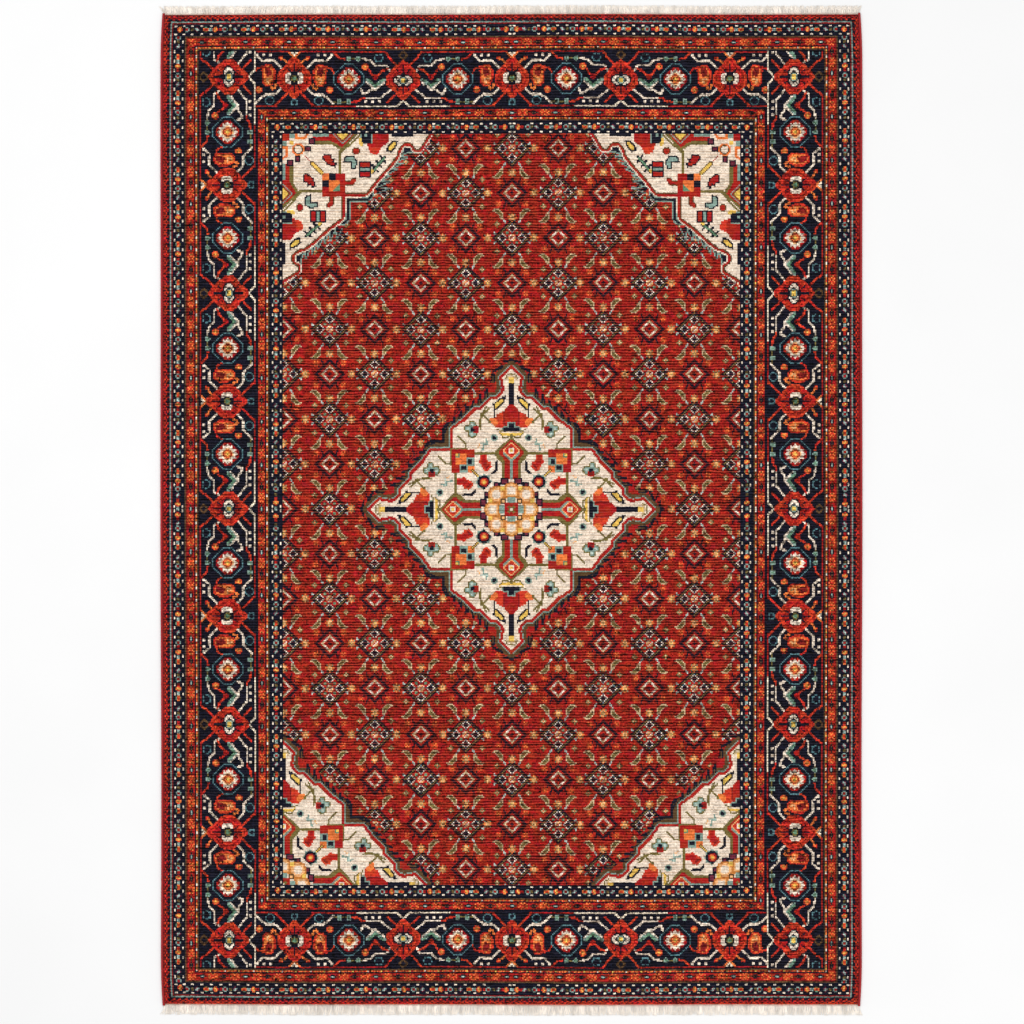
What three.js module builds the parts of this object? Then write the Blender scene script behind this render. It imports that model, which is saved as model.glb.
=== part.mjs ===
// A hand-knotted area rug with a central medallion, laid flat with its pile up.
//
// The rug is built up as it comes off the loom. Cotton warps run its whole length and stand out
// past both ends as the fringe. Wefts lie behind and in front of them, a narrow woven web closes
// each end, and a wool-wrapped cord runs down each side. The knotted pile stands on the wefts and
// is divided where the pattern changes: medallion, field, corners, and six border bands per side.
//
// Millimetres, +Z up, +Y along the warps. The origin is under the rug's centre, on the floor.

import * as THREE from "three";

// ---- Driving sizes ----

const KNOT_PITCH = 3.1; // from one knot to the next, along a row and from row to row
const KNOTS_ACROSS = 512;
const KNOT_ROWS = 728;
const YARN_GAP = 0.3; // clearance between two neighbouring pieces

const BACK_WEFT_THICKNESS = 0.9;
const WARP_THICKNESS = 0.8;
const FACE_WEFT_THICKNESS = 0.7;
const PILE_THICKNESS = 7.7;

const BINDING_DIAMETER = 6.1; // the wrapped side edge, over its wool
const BINDING_WALL = 0.8; // thickness of the wool wrapping

const WEB_DEPTH = 4.0; // woven strip between the pile and the fringe
const FRINGE_LENGTH = 17.3; // warp ends beyond the web
const KNOTS_PER_BUNDLE = 4; // warps of four knots hang together as one fringe bundle
const BUNDLE_WIDTH = 8.4;
const BUNDLE_TIP_WIDTH = 5.0;
const WARP_EDGE_INSET = 1.2; // how far the outermost warp lies inside the pile's side

// Border bands from the outside in, with their widths in knots.
const BORDER_BANDS = [
  { name: "edge_band", knots: 7, slot: "edge_wool" },
  { name: "outer_beads", knots: 9, slot: "bead_wool" },
  { name: "outer_stripe", knots: 11, slot: "stripe_wool" },
  { name: "main_border", knots: 41, slot: "border_wool" },
  { name: "inner_stripe", knots: 11, slot: "stripe_wool" },
  { name: "inner_beads", knots: 9, slot: "bead_wool" },
];

// A quarter of the medallion in knots from its centre, from the tip on X round to the tip on Y.
// The first half is listed, and the second half is the same with X and Y exchanged.
const QUARTER_HALF = [
  [111, 0],
  [101, 14.5],
  [91, 14.5],
  [88.5, 19.5],
  [62, 50],
  [60, 51],
];
const QUARTER_STEP = [51, 51]; // the inner step on the diagonal

// ---- Derived sizes ----

const PILE_WIDTH = KNOTS_ACROSS * KNOT_PITCH;
const PILE_LENGTH = KNOT_ROWS * KNOT_PITCH;
const WARP_BASE = BACK_WEFT_THICKNESS + YARN_GAP;
const WARP_TOP = WARP_BASE + WARP_THICKNESS;
const FACE_WEFT_BASE = WARP_TOP + YARN_GAP;
const FACE_WEFT_TOP = FACE_WEFT_BASE + FACE_WEFT_THICKNESS;
const PILE_BASE = FACE_WEFT_TOP + YARN_GAP;
const FIELD_INSET = BORDER_BANDS.reduce((sum, band) => sum + band.knots, 0);
const FIELD_HALF_X = KNOTS_ACROSS / 2 - FIELD_INSET;
const FIELD_HALF_Y = KNOT_ROWS / 2 - FIELD_INSET;

// ---- Yarn colours ----

const YARNS = {
  cotton: { color: 0xe9dfcf, roughness: 0.9 },
  web_cotton: { color: 0xf2e9da, roughness: 0.9 },
  edge_wool: { color: 0x8f2a2e, roughness: 0.95 },
  bead_wool: { color: 0x1d2238, roughness: 0.95 },
  stripe_wool: { color: 0xb0392c, roughness: 0.95 },
  border_wool: { color: 0x171b30, roughness: 0.95 },
  field_wool: { color: 0xa3201e, roughness: 0.95 },
  medallion_wool: { color: 0xeadcc4, roughness: 0.95 },
};

const rug = new THREE.Group();

// Puts a piece into the rug as a named mesh in one of the yarns.
function addPiece(name, slot, geometry) {
  const { color, roughness } = YARNS[slot];
  const yarn = new THREE.MeshStandardMaterial({ color, roughness, metalness: 0 });
  const piece = new THREE.Mesh(geometry, yarn);
  piece.name = name;
  rug.add(piece);
  return piece;
}

// ---- Flat pieces cut from an outline ----

function shapeOf(points, holes = []) {
  const shape = new THREE.Shape(points.map(([x, y]) => new THREE.Vector2(x, y)));
  shape.holes = holes.map(
    (hole) => new THREE.Path(hole.map(([x, y]) => new THREE.Vector2(x, y))),
  );
  return shape;
}

// A flat piece of one thickness that stands on the given height.
function slab(shape, base, thickness) {
  const geometry = new THREE.ExtrudeGeometry(shape, { depth: thickness, bevelEnabled: false });
  return geometry.translate(0, 0, base);
}

function rectangle(lowX, lowY, highX, highY) {
  return [
    [lowX, lowY],
    [highX, lowY],
    [highX, highY],
    [lowX, highY],
  ];
}

// Moves each side of a counter-clockwise outline inwards by the distance, or outwards if negative.
function insetOutline(points, distance) {
  const sides = points.map(([x, y], i) => {
    const [nextX, nextY] = points[(i + 1) % points.length];
    const length = Math.hypot(nextX - x, nextY - y);
    const along = [(nextX - x) / length, (nextY - y) / length];
    return { from: [x - along[1] * distance, y + along[0] * distance], along };
  });
  return sides.map((side, i) => {
    const before = sides[(i + sides.length - 1) % sides.length];
    const turn = before.along[0] * side.along[1] - before.along[1] * side.along[0];
    const gapX = side.from[0] - before.from[0];
    const gapY = side.from[1] - before.from[1];
    const run = (gapX * side.along[1] - gapY * side.along[0]) / turn;
    return [before.from[0] + before.along[0] * run, before.from[1] + before.along[1] * run];
  });
}

const inMillimetres = (points) => points.map(([x, y]) => [x * KNOT_PITCH, y * KNOT_PITCH]);

// ---- Ground weave: wefts behind and in front of the warps ----

function addWefts() {
  const halfX = PILE_WIDTH / 2;
  const halfY = PILE_LENGTH / 2;
  const sheet = shapeOf(rectangle(-halfX, -halfY, halfX, halfY));
  addPiece("back_wefts", "cotton", slab(sheet, 0, BACK_WEFT_THICKNESS));
  addPiece("face_wefts", "cotton", slab(sheet, FACE_WEFT_BASE, FACE_WEFT_THICKNESS));
}

// ---- Warps with the fringe at both ends ----

function addWarps() {
  const halfX = PILE_WIDTH / 2 - WARP_EDGE_INSET;
  const rootY = PILE_LENGTH / 2 + YARN_GAP + WEB_DEPTH;
  const tipY = rootY + FRINGE_LENGTH;
  const rootHalf = BUNDLE_WIDTH / 2;
  const tipHalf = BUNDLE_TIP_WIDTH / 2;
  const bundles = Math.round(KNOTS_ACROSS / KNOTS_PER_BUNDLE);
  const bundlePitch = (2 * halfX - BUNDLE_WIDTH) / (bundles - 1);
  const frontEdge = [];
  for (let i = 0; i < bundles; i++) {
    const middle = -halfX + rootHalf + i * bundlePitch;
    frontEdge.push([middle - rootHalf, -rootY]);
    frontEdge.push([middle - tipHalf, -tipY]);
    frontEdge.push([middle + tipHalf, -tipY]);
    frontEdge.push([middle + rootHalf, -rootY]);
  }
  const backEdge = frontEdge.map(([x, y]) => [-x, -y]);
  const outline = shapeOf([...frontEdge, ...backEdge]);
  addPiece("warp_yarns", "cotton", slab(outline, WARP_BASE, WARP_THICKNESS));
}

// ---- End webs: each is a flat sleeve woven round the warps ----

function addEndWeb(name, end) {
  const halfX = PILE_WIDTH / 2;
  const slotHalfX = halfX - WARP_EDGE_INSET + YARN_GAP;
  const slot = rectangle(-slotHalfX, WARP_BASE - YARN_GAP, slotHalfX, WARP_TOP + YARN_GAP);
  const section = shapeOf(rectangle(-halfX, 0, halfX, FACE_WEFT_TOP), [slot]);
  const geometry = new THREE.ExtrudeGeometry(section, { depth: WEB_DEPTH, bevelEnabled: false });
  geometry.rotateX(Math.PI / 2); // the section now stands upright and runs towards -Y
  const nearY = PILE_LENGTH / 2 + YARN_GAP;
  geometry.translate(0, end > 0 ? nearY + WEB_DEPTH : -nearY, 0);
  addPiece(name, "web_cotton", geometry);
}

// ---- Side edges: a cord inside its wool wrapping ----

function addSideEdge(side, direction) {
  const radius = BINDING_DIAMETER / 2;
  const middleX = direction * (PILE_WIDTH / 2 + YARN_GAP + radius);
  const halfY = PILE_LENGTH / 2 + YARN_GAP + WEB_DEPTH; // along the pile and both webs
  const cordRadius = radius - BINDING_WALL - YARN_GAP;

  const cord = new THREE.CylinderGeometry(cordRadius, cordRadius, 2 * halfY, 20);
  cord.translate(middleX, 0, radius);
  addPiece(`${side}_side_cord`, "cotton", cord);

  const ring = new THREE.Shape().absarc(0, 0, radius, 0, 2 * Math.PI);
  ring.holes = [new THREE.Path().absarc(0, 0, radius - BINDING_WALL, 0, 2 * Math.PI)];
  const wrapping = new THREE.ExtrudeGeometry(ring, {
    depth: 2 * halfY,
    bevelEnabled: false,
    curveSegments: 28,
  });
  wrapping.rotateX(Math.PI / 2); // the length now runs towards -Y
  wrapping.translate(middleX, halfY, radius);
  addPiece(`${side}_side_binding`, "edge_wool", wrapping);
}

// ---- Knotted pile ----

// A quarter of the medallion's outline in knots, counter-clockwise from the tip on X.
function quarterOutline() {
  const swapped = [...QUARTER_HALF].reverse().map(([x, y]) => [y, x]);
  return [...QUARTER_HALF, QUARTER_STEP, ...swapped];
}

// The quarter mirrored into one of the four quadrants, still running counter-clockwise.
function quarterIn(signX, signY) {
  const placed = quarterOutline().map(([x, y]) => [signX * x, signY * y]);
  return signX * signY > 0 ? placed : placed.reverse();
}

function addPile(name, slot, points, holes = []) {
  const outline = insetOutline(inMillimetres(points), YARN_GAP / 2);
  const openings = holes.map((hole) => insetOutline(inMillimetres(hole), -YARN_GAP / 2));
  addPiece(name, slot, slab(shapeOf(outline, openings), PILE_BASE, PILE_THICKNESS));
}

// The four quadrants' outlines joined into one, with each shared tip kept once.
function medallionOutline() {
  const quadrants = [
    [1, 1],
    [-1, 1],
    [-1, -1],
    [1, -1],
  ];
  return quadrants.flatMap(([signX, signY]) => quarterIn(signX, signY).slice(0, -1));
}

const FIELD_CORNERS = [
  { name: "front_left_corner", signX: -1, signY: -1 },
  { name: "front_right_corner", signX: 1, signY: -1 },
  { name: "back_right_corner", signX: 1, signY: 1 },
  { name: "back_left_corner", signX: -1, signY: 1 },
];

// A corner piece's curved side in knots, seen from the field's centre, running counter-clockwise.
function cornerSide({ signX, signY }) {
  return quarterIn(-signX, -signY).map(([x, y]) => [
    signX * FIELD_HALF_X + x,
    signY * FIELD_HALF_Y + y,
  ]);
}

function addFieldAndMedallion() {
  addPile("medallion_pile", "medallion_wool", medallionOutline());
  for (const corner of FIELD_CORNERS) {
    const middle = [corner.signX * FIELD_HALF_X, corner.signY * FIELD_HALF_Y];
    addPile(`${corner.name}_pile`, "medallion_wool", [middle, ...cornerSide(corner)]);
  }
  const fieldOutline = FIELD_CORNERS.flatMap((corner) => cornerSide(corner).reverse());
  addPile("field_pile", "field_wool", fieldOutline, [medallionOutline()]);
}

// The bands of the front and back run the whole width, and those of the sides lie between them.
function addBorders() {
  let outer = 0;
  for (const band of BORDER_BANDS) {
    const inner = outer + band.knots;
    const outerX = KNOTS_ACROSS / 2 - outer;
    const innerX = KNOTS_ACROSS / 2 - inner;
    const outerY = KNOT_ROWS / 2 - outer;
    const innerY = KNOT_ROWS / 2 - inner;
    addPile(`front_${band.name}_pile`, band.slot, rectangle(-outerX, -outerY, outerX, -innerY));
    addPile(`back_${band.name}_pile`, band.slot, rectangle(-outerX, innerY, outerX, outerY));
    addPile(`left_${band.name}_pile`, band.slot, rectangle(-outerX, -innerY, -innerX, innerY));
    addPile(`right_${band.name}_pile`, band.slot, rectangle(innerX, -innerY, outerX, innerY));
    outer = inner;
  }
}

addWefts();
addWarps();
addEndWeb("front_end_web", -1);
addEndWeb("back_end_web", 1);
addSideEdge("left", -1);
addSideEdge("right", 1);
addFieldAndMedallion();
addBorders();

export default rug;
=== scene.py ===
"""A hand-knotted wool area rug of a Persian village type, 160 x 230 cm, laid flat with its pile up.

The pattern is drawn knot by knot, as on a weaver's squared paper, and every knot of the pile is a face of
its own. The rug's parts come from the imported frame, and their places are the frame's own.
"""

import bpy
import numpy as np
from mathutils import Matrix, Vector


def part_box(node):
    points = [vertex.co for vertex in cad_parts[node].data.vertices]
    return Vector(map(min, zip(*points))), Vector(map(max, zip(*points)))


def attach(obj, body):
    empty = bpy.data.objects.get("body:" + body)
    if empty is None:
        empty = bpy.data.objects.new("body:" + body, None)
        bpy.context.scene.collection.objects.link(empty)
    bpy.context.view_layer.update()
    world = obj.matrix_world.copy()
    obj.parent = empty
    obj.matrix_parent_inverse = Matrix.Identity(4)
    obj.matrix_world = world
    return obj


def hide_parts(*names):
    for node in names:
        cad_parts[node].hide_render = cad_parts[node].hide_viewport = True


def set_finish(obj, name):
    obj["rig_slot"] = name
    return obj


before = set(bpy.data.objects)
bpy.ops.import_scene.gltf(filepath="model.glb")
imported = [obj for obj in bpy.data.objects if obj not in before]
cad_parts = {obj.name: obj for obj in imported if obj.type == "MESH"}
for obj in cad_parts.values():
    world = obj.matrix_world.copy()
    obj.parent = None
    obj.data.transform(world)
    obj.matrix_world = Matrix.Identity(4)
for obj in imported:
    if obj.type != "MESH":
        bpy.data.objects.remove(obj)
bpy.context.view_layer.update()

bl_info = {
    "name": "Knotted area rug",
    "version": (1, 0, 0),
    "blender": (4, 5, 0),
    "location": "View3D > Sidebar > Rug",
    "description": "Builds a hand-knotted rug with its border, field, medallion, fringe and bound sides",
    "category": "Object",
}

# The rug in knots: the count across and along, the distance from one to the next in metres, and the width
# of each border band from the edge in.
KNOTS_ACROSS = 512
KNOT_ROWS = 728
KNOT_PITCH = 0.0031
BORDER_BANDS = {
    "edge_band": 7,
    "outer_beads": 9,
    "outer_stripe": 11,
    "main_border": 41,
    "inner_stripe": 11,
    "inner_beads": 9,
}
BAND_SLOTS = {
    "edge_band": "edge_wool",
    "outer_beads": "bead_wool",
    "outer_stripe": "stripe_wool",
    "main_border": "border_wool",
    "inner_stripe": "stripe_wool",
    "inner_beads": "bead_wool",
}
EDGE_BAND = BORDER_BANDS["edge_band"]
BEAD_BAND = BORDER_BANDS["outer_beads"]
STRIPE_BAND = BORDER_BANDS["outer_stripe"]
MAIN_BAND = BORDER_BANDS["main_border"]
BORDER = sum(BORDER_BANDS.values())

# One arm of a medallion quarter's outline in knots, from the arm's tip to the diagonal.
MEDALLION_ARM = [(111, 0), (101, 14.5), (91, 14.5), (88.5, 19.5), (62, 50), (60, 51), (51, 51)]

# The medallion and its four corner pieces, each with the side and the end of the rug that it stands at.
MEDALLIONS = {
    "medallion": (0, 0),
    "front_left_corner": (-1, -1),
    "front_right_corner": (1, -1),
    "back_right_corner": (1, 1),
    "back_left_corner": (-1, 1),
}
CORNERS = [(side, end) for side in (-1, 1) for end in (-1, 1)]

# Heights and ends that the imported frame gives, in metres.
PILE_LOW, PILE_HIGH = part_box("field_pile")[0].z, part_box("field_pile")[1].z
PILE_HALF_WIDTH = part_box("front_edge_band_pile")[1].x
PILE_HALF_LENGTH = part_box("back_edge_band_pile")[1].y
WEAVE_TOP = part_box("face_wefts")[1].z
FRINGE_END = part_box("warp_yarns")[1].y

# How each kind of pile is coloured: the painted shade between pairs of rows, the painted highlight on their
# tips, how deep the painted shade in the gaps between tufts is, and how uneven its dye and painted row
# streaks are.
PILE_SHADE_AND_DYE = {
    "edge_wool": ((0.3, 0.26, 0.28), (0.08, 0.02, 0.02), 0.6, 1.1),
    "bead_wool": ((0.4, 0.36, 0.38), (0.03, 0.03, 0.04), 0.6, 1.0),
    "stripe_wool": ((0.32, 0.3, 0.3), (0.06, 0.03, 0.02), 0.6, 1.2),
    "border_wool": ((0.32, 0.27, 0.23), (0.04, 0.03, 0.03), 0.6, 1.2),
    "field_wool": ((0.1, 0.06, 0.07), (0.6, 0.1, 0.05), 0.7, 1.2),
    "medallion_wool": ((0.66, 0.56, 0.48), (0.06, 0.05, 0.05), 0.4, 0.5),
}
# The same for the woven back: painted shade, painted highlight, painted gap shade and uneven dye.
BACK_SHADE_AND_DYE = ((0.7, 0.66, 0.62), (0.05, 0.05, 0.05), 0.6, 0.8)
WOOL_SHINE = 0.08

# The map for baking: how deep a wall starts, how much it is spread, and the strip for the hidden floor.
WALL_START = 0.0045
WALL_SPREAD = 1.2
FLOOR_STRIP = 0.02

# Edges sharper than this many radians stay sharp.
SMOOTH_ANGLE = 1.2

# The sides draw in towards the ends: from how far along, over what length, and where the cord then lies.
PINCH_START = 1.02
PINCH_LENGTH = 0.115
CORD_PLACE = 0.8

# The outermost tufts lean down over about this many knots, and no tuft stands lower than the deepest dip.
DROOP_KNOTS = 0.9
DEEPEST_DIP = 0.005
PILE_SEED = 11
WEAVE_SEED = 5

# The fringes: each one's end, the seed of its random draws and how much longer than the warps' own it is.
FRINGES = {"front_fringe": (-1, 21, 1.25), "back_fringe": (1, 22, 1.0)}
YARNS_IN_BUNDLE = 4
FRINGE_TAPER = (1, 1.05, 1.0, 1.0, 0.95, 0.85, 0.45)

# The stage: each softbox's place, size and power, the daylight, the floor's size, and the camera with the
# distance that it draws to and the width that it takes in.
SOFTBOXES = {
    "softbox_above": ((-0.8, 1.2, 4.2), 4.0, 85),
    "softbox_front": ((1.6, -2.8, 3.2), 2.5, 32),
}
DAYLIGHT = 0.75
FLOOR_SIZE = 30
CAMERA_PLACE = (0.0014, -0.0059, 8.0)
CAMERA_REACH = 50
SENSOR_WIDTH = 36
WIDTH_IN_VIEW = 2.3337


def linear(red, green, blue):
    """Turns a colour from 0 to 255 as a screen shows it into the linear numbers that Blender keeps."""
    shares = np.array((red, green, blue)) / 255
    return tuple(np.where(shares < 0.04045, shares / 12.92, ((shares + 0.055) / 1.055) ** 2.4))


# Each yarn's letter on the cartoon, its name and its dye.
YARNS = {
    "R": ("Red", "madder red of the field and grounds", linear(170, 34, 26)),
    "D": ("Dark red", "deep red of the outermost rows", linear(134, 31, 29)),
    "B": ("Bright red", "orange-red of outlines and blossoms", linear(208, 60, 37)),
    "O": ("Orange", "orange of stars and blossoms", linear(234, 124, 62)),
    "A": ("Apricot", "apricot of the petals", linear(240, 182, 124)),
    "Y": ("Yellow", "yellow of flower centres", linear(234, 194, 92)),
    "C": ("Cream", "undyed cream of the medallion's ground", linear(237, 221, 202)),
    "W": ("White", "white of the dots and lines", linear(246, 231, 206)),
    "N": ("Navy", "navy blue of the border's ground", linear(20, 21, 36)),
    "T": ("Teal", "soft teal of lines and leaves", linear(130, 158, 148)),
    "P": ("Pale teal", "pale teal of sprigs", linear(182, 202, 192)),
    "G": ("Green", "green of leaves and beads", linear(100, 142, 112)),
    "L": ("Olive", "olive of stems", linear(116, 104, 56)),
    "K": ("Brown", "brown of thin outlines", linear(92, 68, 42)),
    "M": ("Mauve", "dark mauve of small squares", linear(112, 42, 60)),
    "S": ("Tan", "tan of small leaves", linear(206, 180, 140)),
    "E": ("Steel teal", "dark teal of rings", linear(84, 124, 132)),
    "F": ("Gold", "gold brown round the petals", linear(198, 126, 60)),
}
YARN_LETTERS = "".join(YARNS)


class RugSizes(bpy.types.PropertyGroup):
    """Sizes of the rug's finer features."""

    rib_depth: bpy.props.FloatProperty(
        name="Rib depth", description="How far the pile dips between two pairs of rows",
        default=0.0007, min=0, max=0.002, unit="LENGTH")
    pile_unevenness: bpy.props.FloatProperty(
        name="Pile unevenness", description="How far single tufts stand above or below the rest",
        default=0.00025, min=0, max=0.001, unit="LENGTH")
    edge_droop: bpy.props.FloatProperty(
        name="Edge droop", description="How far the outermost tufts lean down",
        default=0.0028, min=0, max=0.006, unit="LENGTH")
    corner_pinch: bpy.props.FloatProperty(
        name="Corner pinch", description="How far the bound sides draw in at the rug's ends",
        default=0.0042, min=0, max=0.01, unit="LENGTH")
    bundle_pitch: bpy.props.FloatProperty(
        name="Fringe pitch", description="Distance from one fringe bundle to the next",
        default=0.0046, min=0.003, max=0.02, unit="LENGTH")
    fringe_yarn: bpy.props.FloatProperty(
        name="Fringe yarn", description="Diameter of a single fringe yarn",
        default=0.0015, min=0.0005, max=0.003, unit="LENGTH")
    wrap_pitch: bpy.props.FloatProperty(
        name="Wrap pitch", description="Distance from one turn of the side binding to the next",
        default=0.0031, min=0.001, max=0.01, unit="LENGTH")


def dye_setting(name, description, default):
    """Makes the setting for the colour of a yarn or of the floor."""
    return bpy.props.FloatVectorProperty(
        name=name, description=description, subtype="COLOR", size=3, min=0, max=1, default=default)


class RugColours(bpy.types.PropertyGroup):
    """The dyes of the rug's yarns."""

    fringe: dye_setting("Fringe", "Undyed cotton of the fringe", linear(252, 243, 232))
    web: dye_setting("End web", "Undyed cotton of the woven ends", linear(248, 236, 220))
    binding: dye_setting("Side binding", "Red wool that is wound round the sides", linear(166, 48, 50))
    floor: dye_setting("Floor", "Pale floor that the rug lies on", (0.85, 0.85, 0.85))


for letter, (name, use, dye) in YARNS.items():
    RugColours.__annotations__["yarn_" + letter.lower()] = dye_setting(name, "Wool yarn: " + use, dye)


# ---------------------------------------------------------------- the cartoon

def outline_quarter():
    """Returns the outline of a quarter medallion, from one arm's tip round to the other's."""
    return MEDALLION_ARM + [(h, u) for u, h in reversed(MEDALLION_ARM[:-1])]


def inside(points, u, h):
    """Tells which of the places (u, h) lie inside the polygon."""
    found = np.zeros(u.shape, dtype=bool)
    for (u0, h0), (u1, h1) in zip(points, points[1:] + points[:1]):
        if h0 == h1:
            continue
        spans = (h0 > h) != (h1 > h)
        found ^= spans & (u < u0 + (h - h0) * (u1 - u0) / (h1 - h0))
    return found


def yarn_number(letter):
    """Returns the number that stands for a yarn, from 1."""
    return YARN_LETTERS.index(letter) + 1


def mirrored(art):
    """Turns letter art left for right."""
    return "/".join(row[::-1] for row in art.split("/"))


def upside_down(art):
    """Turns letter art top for bottom."""
    return "/".join(reversed(art.split("/")))


class Cartoon:
    """A weaver's drawing on squared paper: one yarn number for each knot, 0 where nothing is drawn."""

    def __init__(self, left, low, right, high):
        across = left + 0.5 + np.arange(round(right - left))
        up = low + 0.5 + np.arange(round(high - low))
        self.across, self.h = np.meshgrid(across, up)
        self.yarns = np.zeros(self.h.shape, dtype=np.uint8)
        self.face(0, 1)

    def face(self, middle, way):
        """Counts u from the middle from now on, to the right (way 1) or to the left (way -1)."""
        self.middle, self.way = middle, way
        self.u = way * (self.across - middle)

    def paint(self, yarn, where):
        self.yarns[where] = yarn_number(yarn)

    def box(self, yarn, left, low, right, high):
        self.paint(yarn, (self.u > left) & (self.u < right) & (self.h > low) & (self.h < high))

    def disc(self, yarn, radius, *centres):
        for u, h in centres:
            self.paint(yarn, np.hypot(self.u - u, self.h - h) < radius)

    def diamond(self, yarn, size, *centres):
        for u, h in centres:
            self.paint(yarn, abs(self.u - u) / size + abs(self.h - h) / size < 1)

    def rings(self, yarns, radii, *centres):
        """Draws discs of several yarns on one another, the widest first."""
        for yarn, radius in zip(yarns, radii):
            self.disc(yarn, radius, *centres)

    def diamonds(self, yarns, sizes, *centres):
        """Draws diamonds of several yarns on one another, the widest first."""
        for yarn, size in zip(yarns, sizes):
            self.diamond(yarn, size, *centres)

    def line(self, yarn, width, *points):
        for (u0, h0), (u1, h1) in zip(points, points[1:]):
            along_u, along_h = u1 - u0, h1 - h0
            share = ((self.u - u0) * along_u + (self.h - h0) * along_h) / (along_u ** 2 + along_h ** 2)
            share = np.clip(share, 0, 1)
            gap = np.hypot(self.u - u0 - share * along_u, self.h - h0 - share * along_h)
            self.paint(yarn, gap < width / 2)

    def fill(self, yarn, *points):
        self.paint(yarn, inside(list(points), self.u, self.h))

    def outlined(self, edge_yarn, width, yarn, *points):
        self.fill(yarn, *points)
        self.line(edge_yarn, width, *points, points[0])

    def stamp(self, art, *centres):
        """Draws letter art, whose rows run from the outer side in, with its middle at each centre."""
        rows = art.split("/")
        high, wide = self.yarns.shape
        for u, h in centres:
            column = round(self.middle + self.way * u - self.across[0, 0] - (len(rows[0]) - 1) / 2 + 0.01)
            row = round(h - self.h[0, 0] + (len(rows) - 1) / 2 + 0.01)
            for down, letters in enumerate(rows):
                for across, letter in enumerate(letters):
                    on_paper = 0 <= row - down < high and 0 <= column + across < wide
                    if letter != "." and on_paper:
                        self.yarns[row - down, column + across] = yarn_number(letter)

    def fold_over_diagonal(self):
        """Copies what is drawn above the diagonal to below it."""
        self.yarns = np.where(self.u > self.h, self.yarns.T, self.yarns)

    def paste(self, art, column, row):
        """Lays another drawing's yarns on this one, with their lowest left knot at the given place."""
        left, low = max(column, 0), max(row, 0)
        target = self.yarns[low:row + art.shape[0], left:column + art.shape[1]]
        source = art[low - row:, left - column:][:target.shape[0], :target.shape[1]]
        target[source > 0] = source[source > 0]


# ---------------------------------------------------------------- medallion

def draw_medallion_ground(quarter, cream_outline):
    """Draws the saw-toothed edge of a quarter medallion, its coloured lines and its cream ground."""
    quarter.fill("R", (0, 0), *outline_quarter())
    quarter.line("N", 15.6, (43.2, 43.2), (43.2, 57))
    quarter.line("K", 10.6, *cream_outline)
    quarter.line("K", 12.2, (43.2, 43.2), (43.2, 57))
    for u in np.arange(14, 50, 4.75):
        top = min(101, 88.5 - (u - 19.5) * 26.5 / 30.5) if u > 15 else 101
        quarter.fill("N", (u - 2.2, top - 8), (u - 1.4, top), (u + 0.4, top - 0.6), (u + 1.8, top - 8))
        quarter.fill("K", (u - 1.1, top - 8), (u - 0.7, top - 2.6), (u + 0.7, top - 8))
    quarter.line("N", 1.8, (0, 110.2), (5, 108.4))
    quarter.line("N", 1.8, (6.5, 105), (13.5, 101.5))
    quarter.line("T", 5.9, *cream_outline)
    quarter.line("R", 4.4, *cream_outline)
    quarter.fill("C", (0, 0), *cream_outline)


def draw_back_corner_ground(quarter, cream_outline):
    """Draws the edge of a back corner, whose teeth are navy in teal, its lines and its cream ground."""
    quarter.fill("R", (0, 0), *outline_quarter())
    for yarn, width in (("T", 14.4), ("N", 12.2), ("T", 8.4)):
        quarter.line(yarn, width, (43.2, 43.2), (43.2, 60))
    slope = sorted(cream_outline[7:11])
    for u in np.arange(13.6, 43, 4.5):
        top = np.interp(u, *np.transpose(slope))
        quarter.fill("T", (u - 2.3, top - 1), (u - 1.9, top + 10.4), (u - 0.7, top + 10.4),
                     (u + 3.6, top + 1))
        quarter.fill("N", (u - 1.2, top - 1), (u - 1, top + 8.8), (u + 2.4, top + 1))
    quarter.line("T", 11, (8.4, 96.4), (7.8, 88.4))
    quarter.line("N", 9, (8.6, 96), (8, 89))
    quarter.line("C", 6.8, *cream_outline)
    quarter.line("R", 5.2, *cream_outline)
    quarter.line("K", 2, *cream_outline)
    quarter.fill("C", (0, 0), *cream_outline)


def draw_medallion_quarter():
    """Draws a quarter of the medallion, which the two front corners repeat."""
    quarter = Cartoon(0, 0, 113, 113)
    draw_medallion_ground(quarter, [
        (-1, 103.5), (0, 103.5), (6.8, 97), (5.1, 89.5), (5.8, 86), (10.1, 81.2), (14.6, 80.8), (22, 73),
        (26, 73), (35, 64), (38.3, 62.4), (43.2, 58), (43.2, 43.2)])
    draw_outer_flowers(quarter)
    draw_inner_square(quarter)
    draw_heart(quarter)
    quarter.fold_over_diagonal()
    return quarter.yarns


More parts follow.
